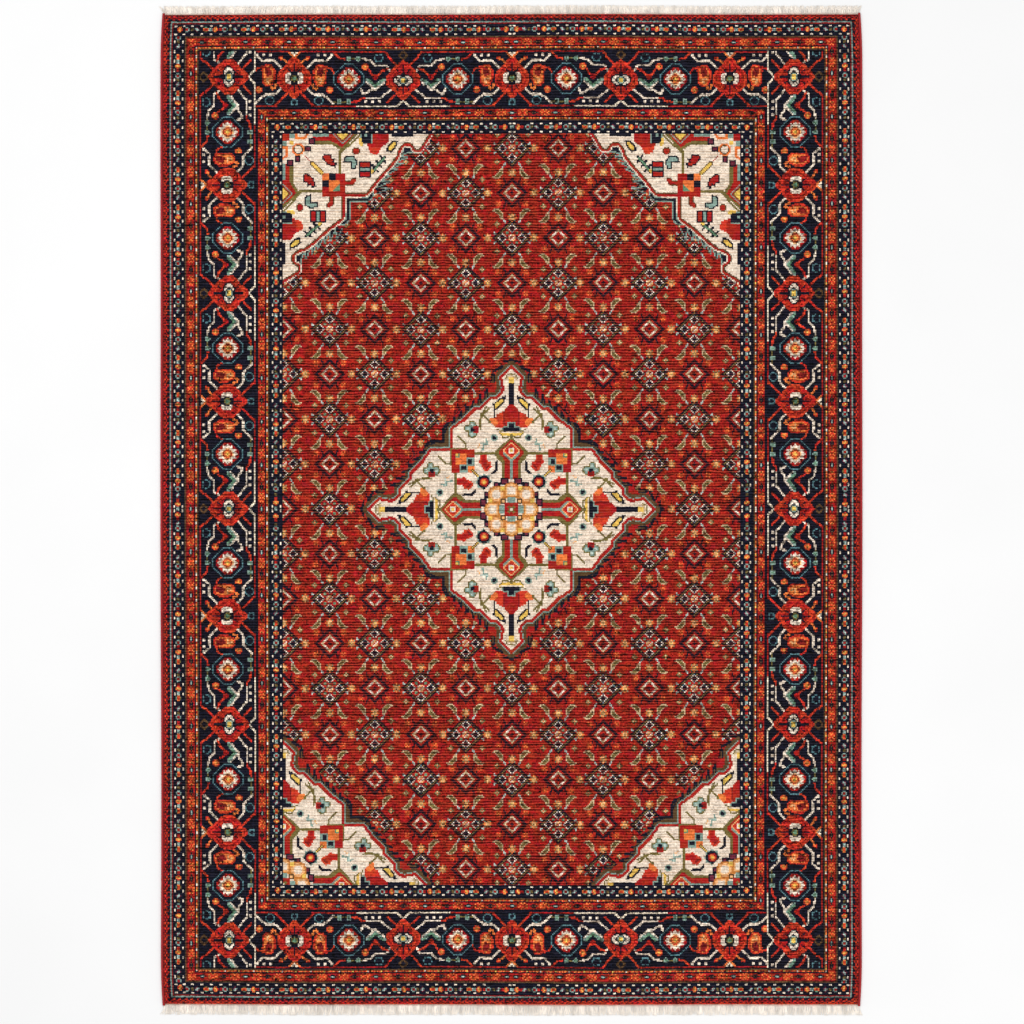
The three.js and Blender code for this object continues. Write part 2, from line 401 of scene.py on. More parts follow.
def draw_outer_flowers(quarter):
    """Draws what stands on the cream ground outside the olive square."""
    # Stem with a ball at its top.
    quarter.box("N", -1, 77, 1.8, 93)
    quarter.disc("Y", 2.4, (0, 95))
    quarter.line("S", 1.2, (0, 98.2), (2.4, 97.4), (3.4, 95.4))
    quarter.line("L", 1, (0, 99.8), (3.3, 98.8), (4.6, 96))
    # Tulip with its side lobes, cup and leaves.
    quarter.fill("R", (-1, 77), (2.2, 76.8), (5.4, 72.6), (5.7, 60), (-1, 60))
    quarter.fill("B", (5.7, 72.4), (10.3, 69.8), (12.2, 67), (15.9, 66.8), (15.4, 63.4), (11.2, 59.6),
                 (5.2, 59.6))
    quarter.fill("O", (11.2, 66.4), (15.9, 66.8), (15.2, 63), (12, 61.2), (9.6, 62.6))
    quarter.line("D", 1, (5.6, 72), (5.9, 63.5), (3.4, 61))
    quarter.line("T", 3.4, (-1, 59), (5.2, 59))
    quarter.box("T", -1, 60, 3, 64.3)
    quarter.box("N", -1, 57.4, 5.6, 60.2)
    quarter.box("N", -1, 60, 1.9, 63.4)
    quarter.line("L", 1, (-1, 57), (6, 57), (10.3, 58.6))
    quarter.fill("Y", (-1, 56.4), (7.6, 56.4), (9, 57), (6, 53.6), (2.8, 53.6), (0, 55), (-1, 55))
    quarter.line("L", 1, (0, 54.2), (3, 52.8), (6.2, 52.8), (8.8, 55.8))
    # Striped leaf beside the stem.
    quarter.outlined("N", 1.3, "Y", (4.9, 83), (8.6, 81.2), (13.1, 77), (12.4, 73.7), (10.1, 74),
                     (5.6, 78.5))
    quarter.line("N", 1.1, (12.9, 75), (12.9, 67.7))
    quarter.line("Y", 1, (7, 80.4), (11, 76.4))
    # Olive sprig and the small flower below it.
    quarter.line("L", 1.7, (16.4, 74.2), (21.4, 69.6), (17.4, 66), (15.6, 63.4))
    quarter.line("L", 1.5, (18.6, 75.2), (20.6, 70.6))
    quarter.line("L", 1.7, (21.8, 70.4), (22.8, 65), (22.6, 58.8))
    quarter.outlined("L", 1, "T", (25.4, 61), (27.2, 64.6), (30.4, 64.6), (31.2, 61.4), (34.4, 61),
                     (35, 58.4), (31.4, 57), (31.4, 53.6), (28.6, 52.4), (26, 54))
    quarter.disc("P", 1.1, (28.7, 62.4), (32.2, 59.2), (28.8, 54.8))
    quarter.box("R", 23.8, 55.6, 27.6, 60.8)
    quarter.box("D", 25.2, 57.2, 27.6, 59.6)
    quarter.disc("N", 1.6, (28.6, 58.2))
    # Oval, tick and sprig.
    quarter.disc("T", 2.6, (12.4, 52.6))
    quarter.disc("N", 1.7, (12.6, 52.2))
    quarter.line("L", 1.2, (39, 53.5), (34, 48.8), (33.2, 44.6))
    quarter.line("T", 1.4, (18.6, 51.6), (17.8, 48), (20.2, 47), (21.2, 43.4))
    quarter.line("P", 1.2, (18, 48.4), (22.4, 48.6))
    quarter.line("A", 1, (23, 47.4), (24.6, 45.6))


def draw_inner_square(quarter):
    """Draws the olive square with its arms, end diamonds, corner blocks and cream lobes."""
    quarter.box("L", 11, 40.2, 43, 42.4)
    quarter.fill("L", (-1, 54.4), (0, 53.6), (12.6, 42), (7.2, 34.8), (7.4, 22), (-1, 22))
    quarter.fill("R", (-1, 52), (0, 51), (9.8, 42), (4.9, 35.6), (4.9, 22), (-1, 22))
    quarter.line("T", 1.4, (-1, 35.4), (1, 36.2), (5.6, 41.6))
    quarter.box("T", -1, 22, 0.9, 36)
    quarter.diamonds("ABR", (6.4, 5.2, 3.8), (0, 43))
    quarter.rings("CY", (2.2, 1.3), (0, 43))
    quarter.fill("C", (7.6, 7.6), (7.6, 34.3), (12.2, 39.8), (40.3, 40.3))
    quarter.line("L", 1, (7.4, 34.6), (12, 40))
    # Corner block: a red angle round orange, navy and red cells.
    quarter.box("L", 32, 40.2, 45, 45)
    quarter.box("R", 27.4, 38, 44.4, 44.4)
    quarter.box("O", 33, 32, 41.4, 41.4)
    quarter.box("G", 37.6, 37.6, 41.4, 41.4)
    quarter.box("Y", 38.8, 38.8, 40.6, 40.6)
    quarter.box("T", 27.4, 32.2, 33, 38.2)
    quarter.box("N", 28.6, 33.3, 32.4, 37.2)
    quarter.box("O", 27.2, 26.4, 33, 32.2)
    quarter.line("K", 2.6, (28.4, 28.4), (24.4, 24.4))
    quarter.line("Y", 1.2, (28.4, 28.4), (24.4, 24.4))
    # Scalloped flower on the diagonal.
    petals = np.arange(8) * np.pi / 4
    quarter.disc("T", 1.5, *[(20.2 + 4.5 * np.cos(turn), 20.2 + 4.5 * np.sin(turn)) for turn in petals])
    quarter.rings("NROY", (4.8, 3.2, 2, 1), (20.2, 20.2))
    # Curled red leaf and navy tick.
    quarter.fill("B", (17.6, 40), (22.4, 40), (23.8, 34.6), (21.4, 30.9), (19.8, 27.8), (17, 28),
                 (14.4, 31.3), (15, 34.4), (17.8, 36.4))
    quarter.line("R", 3.2, (17.8, 31.6), (20, 33.6), (20.2, 38.6))
    quarter.line("D", 1.2, (16.4, 32.6), (18.4, 29.8))
    quarter.line("N", 2, (10.7, 34.8), (11.1, 28.8), (13.9, 26.6))


def draw_heart(quarter):
    """Draws the petals round the middle of the medallion."""
    quarter.fill("C", (7.4, 22), (16, 19), (19, 16), (22, 7.4), (9, 9))
    quarter.box("N", 2.2, 18.1, 8.4, 23.3)
    quarter.box("M", 3.4, 19.4, 7, 22)
    quarter.box("N", 8.4, 15.4, 13, 20)
    quarter.box("M", 9.6, 16.6, 11.8, 18.8)
    quarter.outlined("F", 1.3, "A", (-1, 20), (1.4, 19.4), (4.6, 16.8), (4.9, 9), (-1, 9))
    quarter.fill("C", (-1, 17.4), (1, 17), (2.6, 15.4), (2.6, 11), (-1, 11))
    quarter.outlined("F", 1.3, "A", (5.8, 8.6), (5.8, 13), (9, 16.4), (14.2, 15.9), (15.9, 14.2),
                     (16.4, 9), (13, 5.8), (8.6, 5.8))
    quarter.fill("C", (8, 9.6), (8.2, 12.4), (10, 14.2), (13.2, 13.8), (13.8, 13.2), (14.2, 10),
                 (12.4, 8.2), (9.6, 8))
    quarter.box("Y", 4.9, 13.8, 7.6, 17.4)
    quarter.box("Y", 4.2, 4.2, 8, 8)
    quarter.outlined("K", 1, "A", (4.6, 4.6), (4.6, 7.6), (7.6, 7.6), (7.6, 4.6))
    quarter.box("T", -1, 5.2, 3.1, 8.8)
    quarter.box("R", -1, -1, 4.9, 5.2)
    quarter.diamond("C", 2.8, (0, 0))
    quarter.diamond("L", 1.2, (1.5, 1.5))


def draw_back_corner():
    """Draws the quarter medallion of the two back corners, whose flowers differ from the front ones."""
    quarter = Cartoon(0, 0, 113, 113)
    draw_back_corner_ground(quarter, [
        (-1, 107), (0, 107), (10.6, 100.4), (10.6, 97.6), (6.6, 95.2), (6, 89.6), (8.6, 86.4), (13, 84),
        (15.4, 83.7), (22.9, 78), (33.3, 68.5), (42.9, 61.3), (43.2, 56), (43.2, 43.2)])
    # Stem, leaf, cup and tulip on the arm.
    quarter.box("N", -1, 79.7, 2.3, 96)
    quarter.outlined("N", 1.3, "Y", (5.2, 84), (9, 83), (13, 79.4), (12.4, 76.6), (8.6, 77.6), (5.4, 81))
    quarter.fill("R", (-1, 78.5), (6, 77.6), (10, 72.5), (15.4, 70), (14, 64), (9, 62.5), (-1, 62.5))
    quarter.fill("B", (10, 72.4), (15.4, 70), (14, 64), (9.4, 63))
    quarter.box("T", -1, 57, 7.4, 65.6)
    quarter.box("N", -1, 57.8, 6.6, 64.8)
    quarter.box("T", -1, 60, 2, 62.4)
    quarter.fill("Y", (2.6, 55.6), (9.2, 56.8), (9.2, 58.6), (3, 58.4))
    # Fern with a bud, striped block and curls.
    quarter.line("N", 2.4, (17, 75), (22, 70.6), (27.4, 66.4))
    for u, h in ((18.4, 73.8), (21.8, 70.6), (25, 68)):
        quarter.line("N", 1.7, (u - 2.4, h - 2.2), (u, h), (u + 2.6, h + 2))
    quarter.line("G", 1.5, (17.4, 74.6), (22, 70.6), (27, 66.8))
    quarter.disc("Y", 1.5, (27.2, 65.7))
    for low, yarn in ((20.4, "R"), (24.2, "T"), (27.8, "R")):
        quarter.outlined("N", 1, yarn, (low, 56.2), (low, 64), (low + 3.6, 64.4), (low + 3.6, 56.6))
    quarter.outlined("N", 1.2, "T", (16.2, 46.4), (16.2, 52), (20.6, 54.6), (25.4, 53.4), (25.4, 50.6),
                     (20.4, 50.4), (20.2, 45))
    quarter.rings("KR", (2.8, 2.1), (12.6, 54))
    quarter.line("K", 3.6, (36.2, 45.4), (36.2, 50.4), (33.8, 52.6))
    quarter.line("R", 2.4, (36.2, 45.4), (36.2, 50.4), (33.8, 52.6))
    quarter.line("L", 1.5, (14.3, 42.4), (1.1, 56.3))
    # Square frame, arm and end diamond.
    quarter.box("L", 12.4, 41.4, 43, 43.4)
    quarter.fill("L", (-1, 56.4), (0, 55.6), (12.6, 43.6), (7.6, 35.6), (7.8, 22), (-1, 22))
    quarter.fill("R", (-1, 53.6), (0, 52.8), (10, 43.4), (5.2, 36), (5.2, 22), (-1, 22))
    quarter.box("N", -1, 22, 2.5, 34)
    quarter.box("T", -1, 22, 1.6, 34)
    quarter.diamonds("TRKY", (7.6, 6.2, 5.6, 4.6), (0, 44))
    quarter.fill("C", (7.8, 7.8), (7.8, 35.4), (12.4, 41.2), (41.2, 41.2))
    # Corner block.
    quarter.box("R", 29, 39, 46, 46)
    quarter.box("O", 34.2, 34.2, 42, 42)
    quarter.fill("G", (37, 42), (42, 42), (42, 37))
    quarter.box("T", 28.6, 33.6, 34.2, 39.4)
    quarter.box("N", 29.4, 34.4, 33.6, 38.6)
    quarter.box("O", 28.8, 28.8, 34, 34)
    quarter.line("K", 3.2, (21.4, 21.4), (28.4, 28.4))
    quarter.line("Y", 1.9, (21.8, 21.8), (28.8, 28.8))
    quarter.outlined("N", 1.1, "R", (15.6, 30.4), (17.4, 29.2), (22.4, 33), (24, 38.4), (21.4, 39.4),
                     (20.4, 36.4), (18.8, 38.4), (17.8, 35.2), (16, 35.6))
    # Petals round the corner of the field.
    quarter.box("N", 2.6, 18.8, 8, 24)
    quarter.box("M", 3.6, 19.8, 7, 23)
    quarter.box("N", 8.6, 16.2, 13.4, 20.6)
    quarter.box("M", 9.8, 17.2, 12.2, 19.6)
    quarter.fill("O", (-1, 20), (3.6, 17), (3.6, 9), (-1, 9))
    quarter.fill("C", (-1, 17.4), (2.2, 15.6), (2.2, 10.6), (-1, 10.6))
    quarter.rings("OKC", (4.6, 3.3, 2.7), (11.4, 11.4))
    quarter.box("Y", 4.6, 4.6, 8, 8)
    quarter.box("T", -1, 5.2, 3.4, 8.8)
    quarter.box("R", -1, -1, 4.9, 5.2)
    quarter.fold_over_diagonal()
    return quarter.yarns


# ---------------------------------------------------------------- field

# The lattice of the field: from one diamond to the next across and along, and half the width of a tile.
LATTICE_ACROSS, LATTICE_ALONG = 33.55, 33.1
TILE_HALF = 20.5

LEAF = "......SS/.....SSS/.....SLS/....SLLS/...SLLLS/..SLLLS./SSLLLS../.SSSS..."
SPARK = ".BOB./BOOOB/OOYOO/BOOOB/.BOB."
STAR = "...O.../.GOAOG./.OAAAO./OOAYAOO/.OAAAO./.GOAOG./...O..."
BUD = "..L../.LSL./LSOSL/.LSL./..L.."
SMALL_BLOSSOM = ".BBB./BOBOB/BBOBB/BOBOB/.BBB."


def draw_ornate_diamond():
    """Draws the field's hatched navy diamond with four small diamonds in it."""
    tile = Cartoon(-TILE_HALF, -TILE_HALF, TILE_HALF, TILE_HALF)
    size = abs(tile.u) + abs(tile.h)
    tile.paint("N", size < 15)
    tile.paint("L", (size > 11.8) & (size < 12.6) & ((tile.u - tile.h) % 4 < 1.5))
    tile.paint("R", size < 10.4)
    out = 6.9
    spots = [(out, 0), (-out, 0), (0, out), (0, -out)]
    tile.diamond("C", 3.4, *spots)
    tile.paint("E", (size < 10.4) & ((tile.u + 2 * tile.h) % 4 < 1) & (tile.yarns == yarn_number("C")))
    tile.diamond("N", 2.2, *spots)
    tile.box("A", -2.6, -2.6, 2.6, 2.6)
    middle = (abs(tile.u) < 2.6) & (abs(tile.h) < 2.6)
    tile.paint("C", middle & ((tile.u - tile.h) % 4 < 2))
    tile.paint("B", middle & ((tile.u - tile.h) % 4 < 1))
    for side, end in CORNERS:
        tile.disc("G", 0.9, (3.6 * side, 3.4 * end))
        tile.line("P", 1.1, (12.4 * side, 2.6 * end), (13.6 * side, 4.6 * end))
        tile.line("P", 1.1, (4.6 * side, 10.6 * end), (6.8 * side, 13.8 * end))
        tile.stamp(BUD, (11.5 * side, 10.3 * end))
    return tile.yarns


def draw_plain_diamond():
    """Draws the field's open navy diamond with four ring flowers round it."""
    tile = Cartoon(-TILE_HALF, -TILE_HALF, TILE_HALF, TILE_HALF)
    size = abs(tile.u) + abs(tile.h)
    tile.paint("N", size < 11.2)
    tile.paint("R", size < 9)
    tile.paint("S", size < 6.2)
    tile.paint("C", (size < 6.2) & (abs(tile.u) > 1.6) & (abs(tile.h) > 1.6))
    tile.paint("R", size < 4.2)
    tile.paint("N", size < 2)
    for side, end in CORNERS:
        tile.line("N", 1.2, (4.4 * side, 6 * end), (6 * side, 10.4 * end))
        tile.line("N", 1.2, (7 * side, 3.6 * end), (8.4 * side, 6 * end))
        tile.stamp(SMALL_BLOSSOM, (10.4 * side, 7.8 * end))
    return tile.yarns


def draw_field(cartoon):
    """Draws the field's lattice of diamonds, stars and leaves."""
    ornate, plain = draw_ornate_diamond(), draw_plain_diamond()
    middle_column, middle_row = KNOTS_ACROSS // 2, KNOT_ROWS // 2
    for i in range(-5, 6):
        for j in range(-9, 10):
            u, h = round(LATTICE_ACROSS * i), round(LATTICE_ALONG * j)
            is_ornate = (i + j) % 2 == 0
            tile = ornate if is_ornate else plain
            cartoon.paste(tile, middle_column + u - int(TILE_HALF), middle_row + h - int(TILE_HALF))
            cartoon.stamp(STAR, (u + 16.8, h), (u, h - 17.2))
            leaf, drop = (LEAF, 17.6) if is_ornate else (upside_down(LEAF), 15.4)
            cartoon.stamp(leaf, (u - 10, h - drop))
            cartoon.stamp(mirrored(leaf), (u + 10, h - drop))


# ---------------------------------------------------------------- main border

def draw_palmette_a(cell):
    """Draws the half of the round palmette and of its vines that lies on the right of its middle."""
    upper = [(1.9, 14.9), (5.3, 9.8), (7.4, 8.2), (11.6, 3.1)]
    lower = [(11.6, -3.7), (7.4, -7.9), (4, -9.6), (0.7, -13.8)]
    right_half = upper + lower
    shape = right_half + [(-u, h) for u, h in reversed(right_half)]
    # Vines.
    cell.line("B", 1.3, (4, -9.6), (14.6, -19.7))
    cell.line("C", 1.4, (9, 7.3), (15.4, 13.6), (23.4, 13.2), (27.2, 16.6))
    cell.line("C", 1.4, (9.1, -6.2), (14.2, -11.3), (20.9, -11.3), (28.5, -17.6))
    for u in (17.9, 22.5, 27.2):
        cell.stamp("CC/CC", (u, 17))
    cell.rings("EN", (3.3, 2.5), (18, -15.9))
    cell.rings("EN", (2.6, 1.7), (0, -17.4))
    cell.line("O", 1.3, (-0.3, 15), (3.8, 19.5))
    cell.line("W", 1.2, (-0.6, 17), (1.6, 19.4))
    cell.fill("B", (8.3, 17), (11.8, 16.6), (11.6, 14.2), (9.4, 13.6))
    cell.line("O", 1.3, (9.6, 14.6), (6.4, 13.4), (4.9, 10.7))
    # Leaf with a curled tail.
    cell.outlined("B", 1.3, "O", (17, 9.4), (21, 10), (23.4, 6.4), (23, -2), (20.6, -5.4), (16.6, -4.6),
                  (14.6, -0.6), (14.6, 6.2))
    cell.fill("D", (17.2, 8.2), (20.8, 8.6), (22, 5.4), (20, 1.6), (16.4, 3))
    cell.line("A", 1.2, (17, -0.4), (20.4, -0.4), (18.6, -3))
    cell.line("O", 1.4, (17, -5.4), (16, -7.6), (13.8, -6), (13.6, -4.2))
    cell.line("B", 1.2, (22.8, 8.6), (26.4, 8.2), (29.6, 4))
    cell.stamp(SPARK, (26, -7.9))
    # Palmette.
    cell.outlined("B", 1.7, "R", *shape)
    cell.line("B", 1.1, (-9.6, 0), (-6, 5.8), (0, 12.6), (6, 5.8), (9.6, 0), (5.4, -6.4), (0, -11.4))
    for vein in (((0, 3.9), (0, 10.6)), ((0, -3.9), (0, -9.6)), ((3, 5), (4.6, 8)), ((3, -5), (4, -7.4))):
        cell.line("N", 1, *vein)
    cell.disc("N", 5.2, (0, 0.4))
    cell.fill("C", (2, 4.4), (5.6, 4), (7, 1.8), (7, -1.4), (5.6, -3.4), (2, -3.6), (3.6, -1), (3.6, 1.6))
    cell.rings("LG", (2.5, 1.6), (0, 0.4))


def draw_palmette_b(cell):
    """Draws the half of the pointed palmette and of its vines that lies on the left of its middle."""
    # Vines.
    cell.line("B", 1.4, (4.6, 10.2), (13.8, 20))
    cell.line("B", 1.3, (5, -11), (11.5, -17))
    cell.line("C", 1.4, (9.6, 6), (11.3, 8.6), (13.4, 10.2), (20.6, 9.8), (24, 14), (30.3, 14.9))
    cell.line("C", 1.4, (8.4, -6.6), (16.4, -14.2), (27, -13.8))
    for u in (17.9, 22.7, 27.4):
        cell.stamp("CC/CC", (u, -16.8))
    cell.rings("EN", (3.3, 2.5), (18, 15.6))
    cell.diamonds("KN", (3.4, 2), (0.3, 17.4))
    # Tulip with wings and a tail.
    cell.line("B", 1.4, (25.2, 6.5), (20.4, 0.6), (15.5, 6.1), (11.3, 7.7))
    cell.disc("R", 1.9, (20.4, 1.6))
    cell.line("T", 3.4, (26.1, -0.9), (20.6, -6.2), (14.3, -0.9))
    cell.line("C", 1.2, (26.8, -2.2), (20.6, -8), (13.8, -2.2))
    cell.line("G", 1.2, (25.4, -0.4), (20.6, -5), (15, -0.4))
    cell.line("C", 1.3, (20.6, -7), (24, -7.9), (26.5, -10.2), (29.5, -10.6), (30.7, -8.9))
    cell.disc("C", 1.3, (30.6, -8.2))
    cell.stamp(SPARK, (28.2, 8.6))
    # Palmette.
    cell.outlined("B", 1.7, "R", (0, 13.2), (4.6, 9.8), (11.7, 1.8), (11.7, -3.7), (7.1, -7.9),
                  (4.6, -9.6), (3, -12.1), (0, -15.5), (-3, -12.1), (-3, 12))
    cell.line("B", 1, (0, 10), (3.8, 7.2), (9.2, 1.4), (9.2, -3.2), (5.4, -7.4), (0, -12.6))
    for vein in (((0, 9.8), (0, 4)), ((0, -5), (0, -10.6)), ((3.2, 5), (4.6, 7)), ((3.2, -6), (4.4, -8.4))):
        cell.line("N", 1, *vein)
    cell.paint("N", (cell.u / 7.6) ** 2 + ((cell.h + 0.9) / 5) ** 2 < 1)
    cell.paint("C", (cell.u / 6.5) ** 2 + ((cell.h + 0.9) / 3.8) ** 2 < 1)
    cell.line("N", 1.5, (0, -4.4), (3.6, -1), (0, 2.6))
    cell.rings("TY", (2.4, 1.5), (0, -0.9))
    cell.line("W", 1.2, (4.4, -20), (0, -15.9))


def draw_rosette(cell):
    """Draws the flower that stands between two palmettes, with the beaded vines above and below it."""
    size = np.maximum(abs(cell.u) + abs(cell.h), 1.3 * np.maximum(abs(cell.u), abs(cell.h)))
    turn = np.arctan2(cell.h, cell.u)
    cell.paint("E", (size < 14.4) & (size > 13.2))
    cell.paint("R", size < 11)
    cell.paint("C", size < 8.8 + 1.3 * np.cos(12 * turn))
    cell.paint("A", size < 5.6)
    cell.rings("ROY", (3.3, 2.7, 1.1), (0, 0))
    # Outer vine: cream from the pointed palmette, beads, then red to the round one.
    cell.line("L", 1.2, (10, 14.9), (0, 14.9))
    cell.rings("TG", (2, 1), (0, 14.9), (6.8, 14.9))
    cell.line("B", 1.2, (-3, 14.6), (-6, 14.9), (-10.6, 18.9))
    # Inner vine, the other way round.
    cell.line("L", 1.2, (-11, -16.8), (0, -16.8))
    cell.rings("TG", (2, 1), (0, -16.7), (-7, -16.7))
    cell.line("B", 1.2, (1.6, -16.7), (7.5, -16.3), (9.6, -14.2), (12, -14.2))


def draw_border_unit():
    """Draws one repeat of the main border: a round palmette between two halves of pointed ones."""
    cell = Cartoon(-0.5, -20.5, 80.5, 20.5)
    cell.box("N", -1, -20.5, 81, 20.5)
    draw_palmette_a(cell)
    cell.face(40, 1)
    draw_rosette(cell)
    cell.face(80, -1)
    draw_palmette_b(cell)
    cell.face(0, 1)
    cell.line("R", 1, (13, -20), (46, -20))
    cell.line("W", 1, (46, -20), (75.6, -20))
    cell.line("R", 1, (3.8, 20), (66.2, 20))
    return cell.yarns


# ---------------------------------------------------------------- border strips

BEADS = {
    "star": ".OO./BOYB/BYOB/.OO.",
    "ring": ".TT./TDRT/TRDT/.TT.",
    "teal": "TPT/PTT",
    "flower": ".GG./OBBO/OBBO/.LL.",
    "mauve": ".M./TPM/MPT/.M.",
    "brown": "KL/LK",
    "red": "RR/RR",
    "navy": "N/N",
}
OUTER_ORDER = ["ring", "red", "star", "teal", "flower", "navy", "mauve", "brown"]
INNER_ORDER = ["ring", "brown", "mauve", "navy", "flower", "teal", "star", "red"]
BEAD_PITCH = 3.465
DOTS_OUT = 3.2
OVAL_PITCH = 8
BARBER_ROW = 8
BLOSSOM = ".BO.OB./OBBOBBO/BOBRBOB/OBBOBBO/.BO.OB."
STRIPE_ORDER = (".NNN./NTPTN/.NNN.", BLOSSOM, ".NNN./NKNKN/.NNN.", BLOSSOM)


def draw_bead_band(strip, low, half_length, start, order, middle_beads):
    """Draws a band of beads between two rows of white dots; low is its inner edge."""
    strip.box("N", -half_length, low, half_length, low + BEAD_BAND)
    centre = low + BEAD_BAND / 2
    for u, bead in middle_beads:
        strip.stamp(BEADS[bead], (u, centre), (-u, centre))
    count = int((half_length - start) / BEAD_PITCH)
    for k in range(count):
        u = start + k * BEAD_PITCH
        strip.stamp(BEADS[order[k % len(order)]], (u, centre), (-u, centre))
        if k % 2 == 1:
            for height in (centre + DOTS_OUT, centre - DOTS_OUT):
                strip.stamp("WW", (u, height), (-u, height))
    strip.stamp("WW.WW", (0, centre + DOTS_OUT), (0, centre - DOTS_OUT))


def draw_stripe_band(strip, low, half_length, first_oval):
    """Draws a narrow stripe of ovals and blossoms, with the barber stripe that borders it."""
    strip.box("N", -half_length, low, half_length, low + STRIPE_BAND)
    strip.box("B", -half_length, low + 4, half_length, low + 9)
    strip.box("R", -half_length, low + 4, half_length, low + 8.6)
    centre = low + 6.5
    for k in range(int(half_length / OVAL_PITCH) + 1):
        u = first_oval + OVAL_PITCH * k
        strip.stamp(STRIPE_ORDER[k % len(STRIPE_ORDER)], (u, centre), (-u, centre))
        strip.stamp("K.K", (u + 4, centre), (-u - 4, centre))


# The column of the main border's unit that the long sides leave out.
SHORTENED_AT = 24

# How the two kinds of side differ: half the length, where the repeats of the main border stand and how far
# out they are drawn, the barber stripe's yarns, where beads and ovals start, and the beads in the middle.
END_SIDE = {
    "half_length": KNOTS_ACROSS / 2,
    "repeat_places": (-160, 0, 160),
    "drawn_to": 188,
    "barber": "CORBOOBOOBRYOBOROBOOR",
    "bead_starts": (16.9, 12),
    "first_oval": 3.4,
    "middle_beads": (
        ((0, "teal"), (3.9, "star"), (7.3, "red"), (9.9, "mauve"), (13.1, "brown")),
        ((0, "teal"), (4.8, "star"), (8.2, "red")),
    ),
}
LONG_SIDE = {
    "half_length": KNOT_ROWS / 2,
    "repeat_places": (-397, -238.2, -79.4, 79.4, 238.2, 397),
    "drawn_to": 400,
    "barber": "CCRROOBOOCCROOYBROO",
    "bead_starts": (14.5, 14.5),
    "first_oval": 0,
    "middle_beads": (
        ((0, "teal"), (3.9, "star"), (7.3, "red"), (10.7, "mauve")),
        ((0, "teal"), (4.8, "star"), (8.2, "red"), (11.4, "brown")),
    ),
}


def draw_edge_band(strip, ring):
    """Draws the outermost band: red with specks, between broken navy lines and a teal one."""
    strip.paint("D", ring < EDGE_BAND)
    for speck, yarn in enumerate("RBRN"):
        strip.paint(yarn, (ring > 0) & (ring < 4) & ((strip.u + 2 * ring) // 1 % 4 == speck))
    strip.paint("R", (ring < 1) & (strip.u % 3 < 2))
    strip.paint("N", (ring == 3) & (strip.u % 4.6 < 2.5))
    strip.paint("N", (ring == 4) & (strip.u % 4.6 < 3.5))
    strip.paint("T", ring == 5)


def draw_border_side(unit, half_length, repeat_places, drawn_to, barber, bead_starts, first_oval,
                     middle_beads):
    """Draws one side of the border, its inner edge low and its outer edge high."""
    strip = Cartoon(-half_length, -BORDER, half_length, 0)
    ring = -strip.h - 0.5
    strip.box("N", -half_length, -BORDER, half_length, 0)
    draw_edge_band(strip, ring)
    outer_stripe = EDGE_BAND + BEAD_BAND
    inner_stripe = BORDER - BEAD_BAND - STRIPE_BAND
    draw_bead_band(strip, -outer_stripe, half_length, bead_starts[0], OUTER_ORDER, middle_beads[0])
    draw_bead_band(strip, -BORDER, half_length, bead_starts[1], INNER_ORDER, middle_beads[1])
    draw_stripe_band(strip, -outer_stripe - STRIPE_BAND, half_length, first_oval)
    draw_stripe_band(strip, -inner_stripe - STRIPE_BAND, half_length, 0)
    for stripe in (outer_stripe, inner_stripe):
        for letter in sorted(set(barber)):
            places = np.array([barber[int(abs(u)) % len(barber)] == letter for u in strip.u[0]])
            strip.paint(letter, (ring == stripe + BARBER_ROW) & places[None, :])
        strip.paint("K", ring == stripe + BARBER_ROW + 1)
    strip.paint("K", ring == outer_stripe)
    strip.paint("D", ring == outer_stripe + 1)
    # Main border.
    band = Cartoon(-half_length, 0, half_length, MAIN_BAND)
    band.paint("N", band.h > 0)
    repeat = np.concatenate([unit[:, :0:-1], unit], axis=1)
    for place in repeat_places:
        band.paste(repeat, int(half_length) + round(place) - unit.shape[1] + 1, 0)
    low = BORDER - outer_stripe - STRIPE_BAND - MAIN_BAND
    main = strip.yarns[low:low + MAIN_BAND]
    main[:] = np.where(abs(band.u) < drawn_to, band.yarns, main)
    return strip.yarns


def draw_rug():
    """Draws the whole rug, front row first."""
    rug = Cartoon(-KNOTS_ACROSS / 2, -KNOT_ROWS / 2, KNOTS_ACROSS / 2, KNOT_ROWS / 2)
    rug.paint("R", rug.u < KNOTS_ACROSS)
    draw_field(rug)
    medallion, back_corner = draw_medallion_quarter(), draw_back_corner()
    size = medallion.shape[0]
    for side, end in CORNERS:
        column = KNOTS_ACROSS // 2 - (0 if side > 0 else size)
        row = KNOT_ROWS // 2 - (0 if end > 0 else size)
        rug.paste(medallion[::end, ::side], column, row)
        corner = back_corner if end > 0 else medallion
        column = KNOTS_ACROSS - BORDER - size if side > 0 else BORDER
        row = KNOT_ROWS - BORDER - size if end > 0 else BORDER
        rug.paste(corner[::-end, ::-side], column, row)
    draw_border(rug)
    return rug.yarns


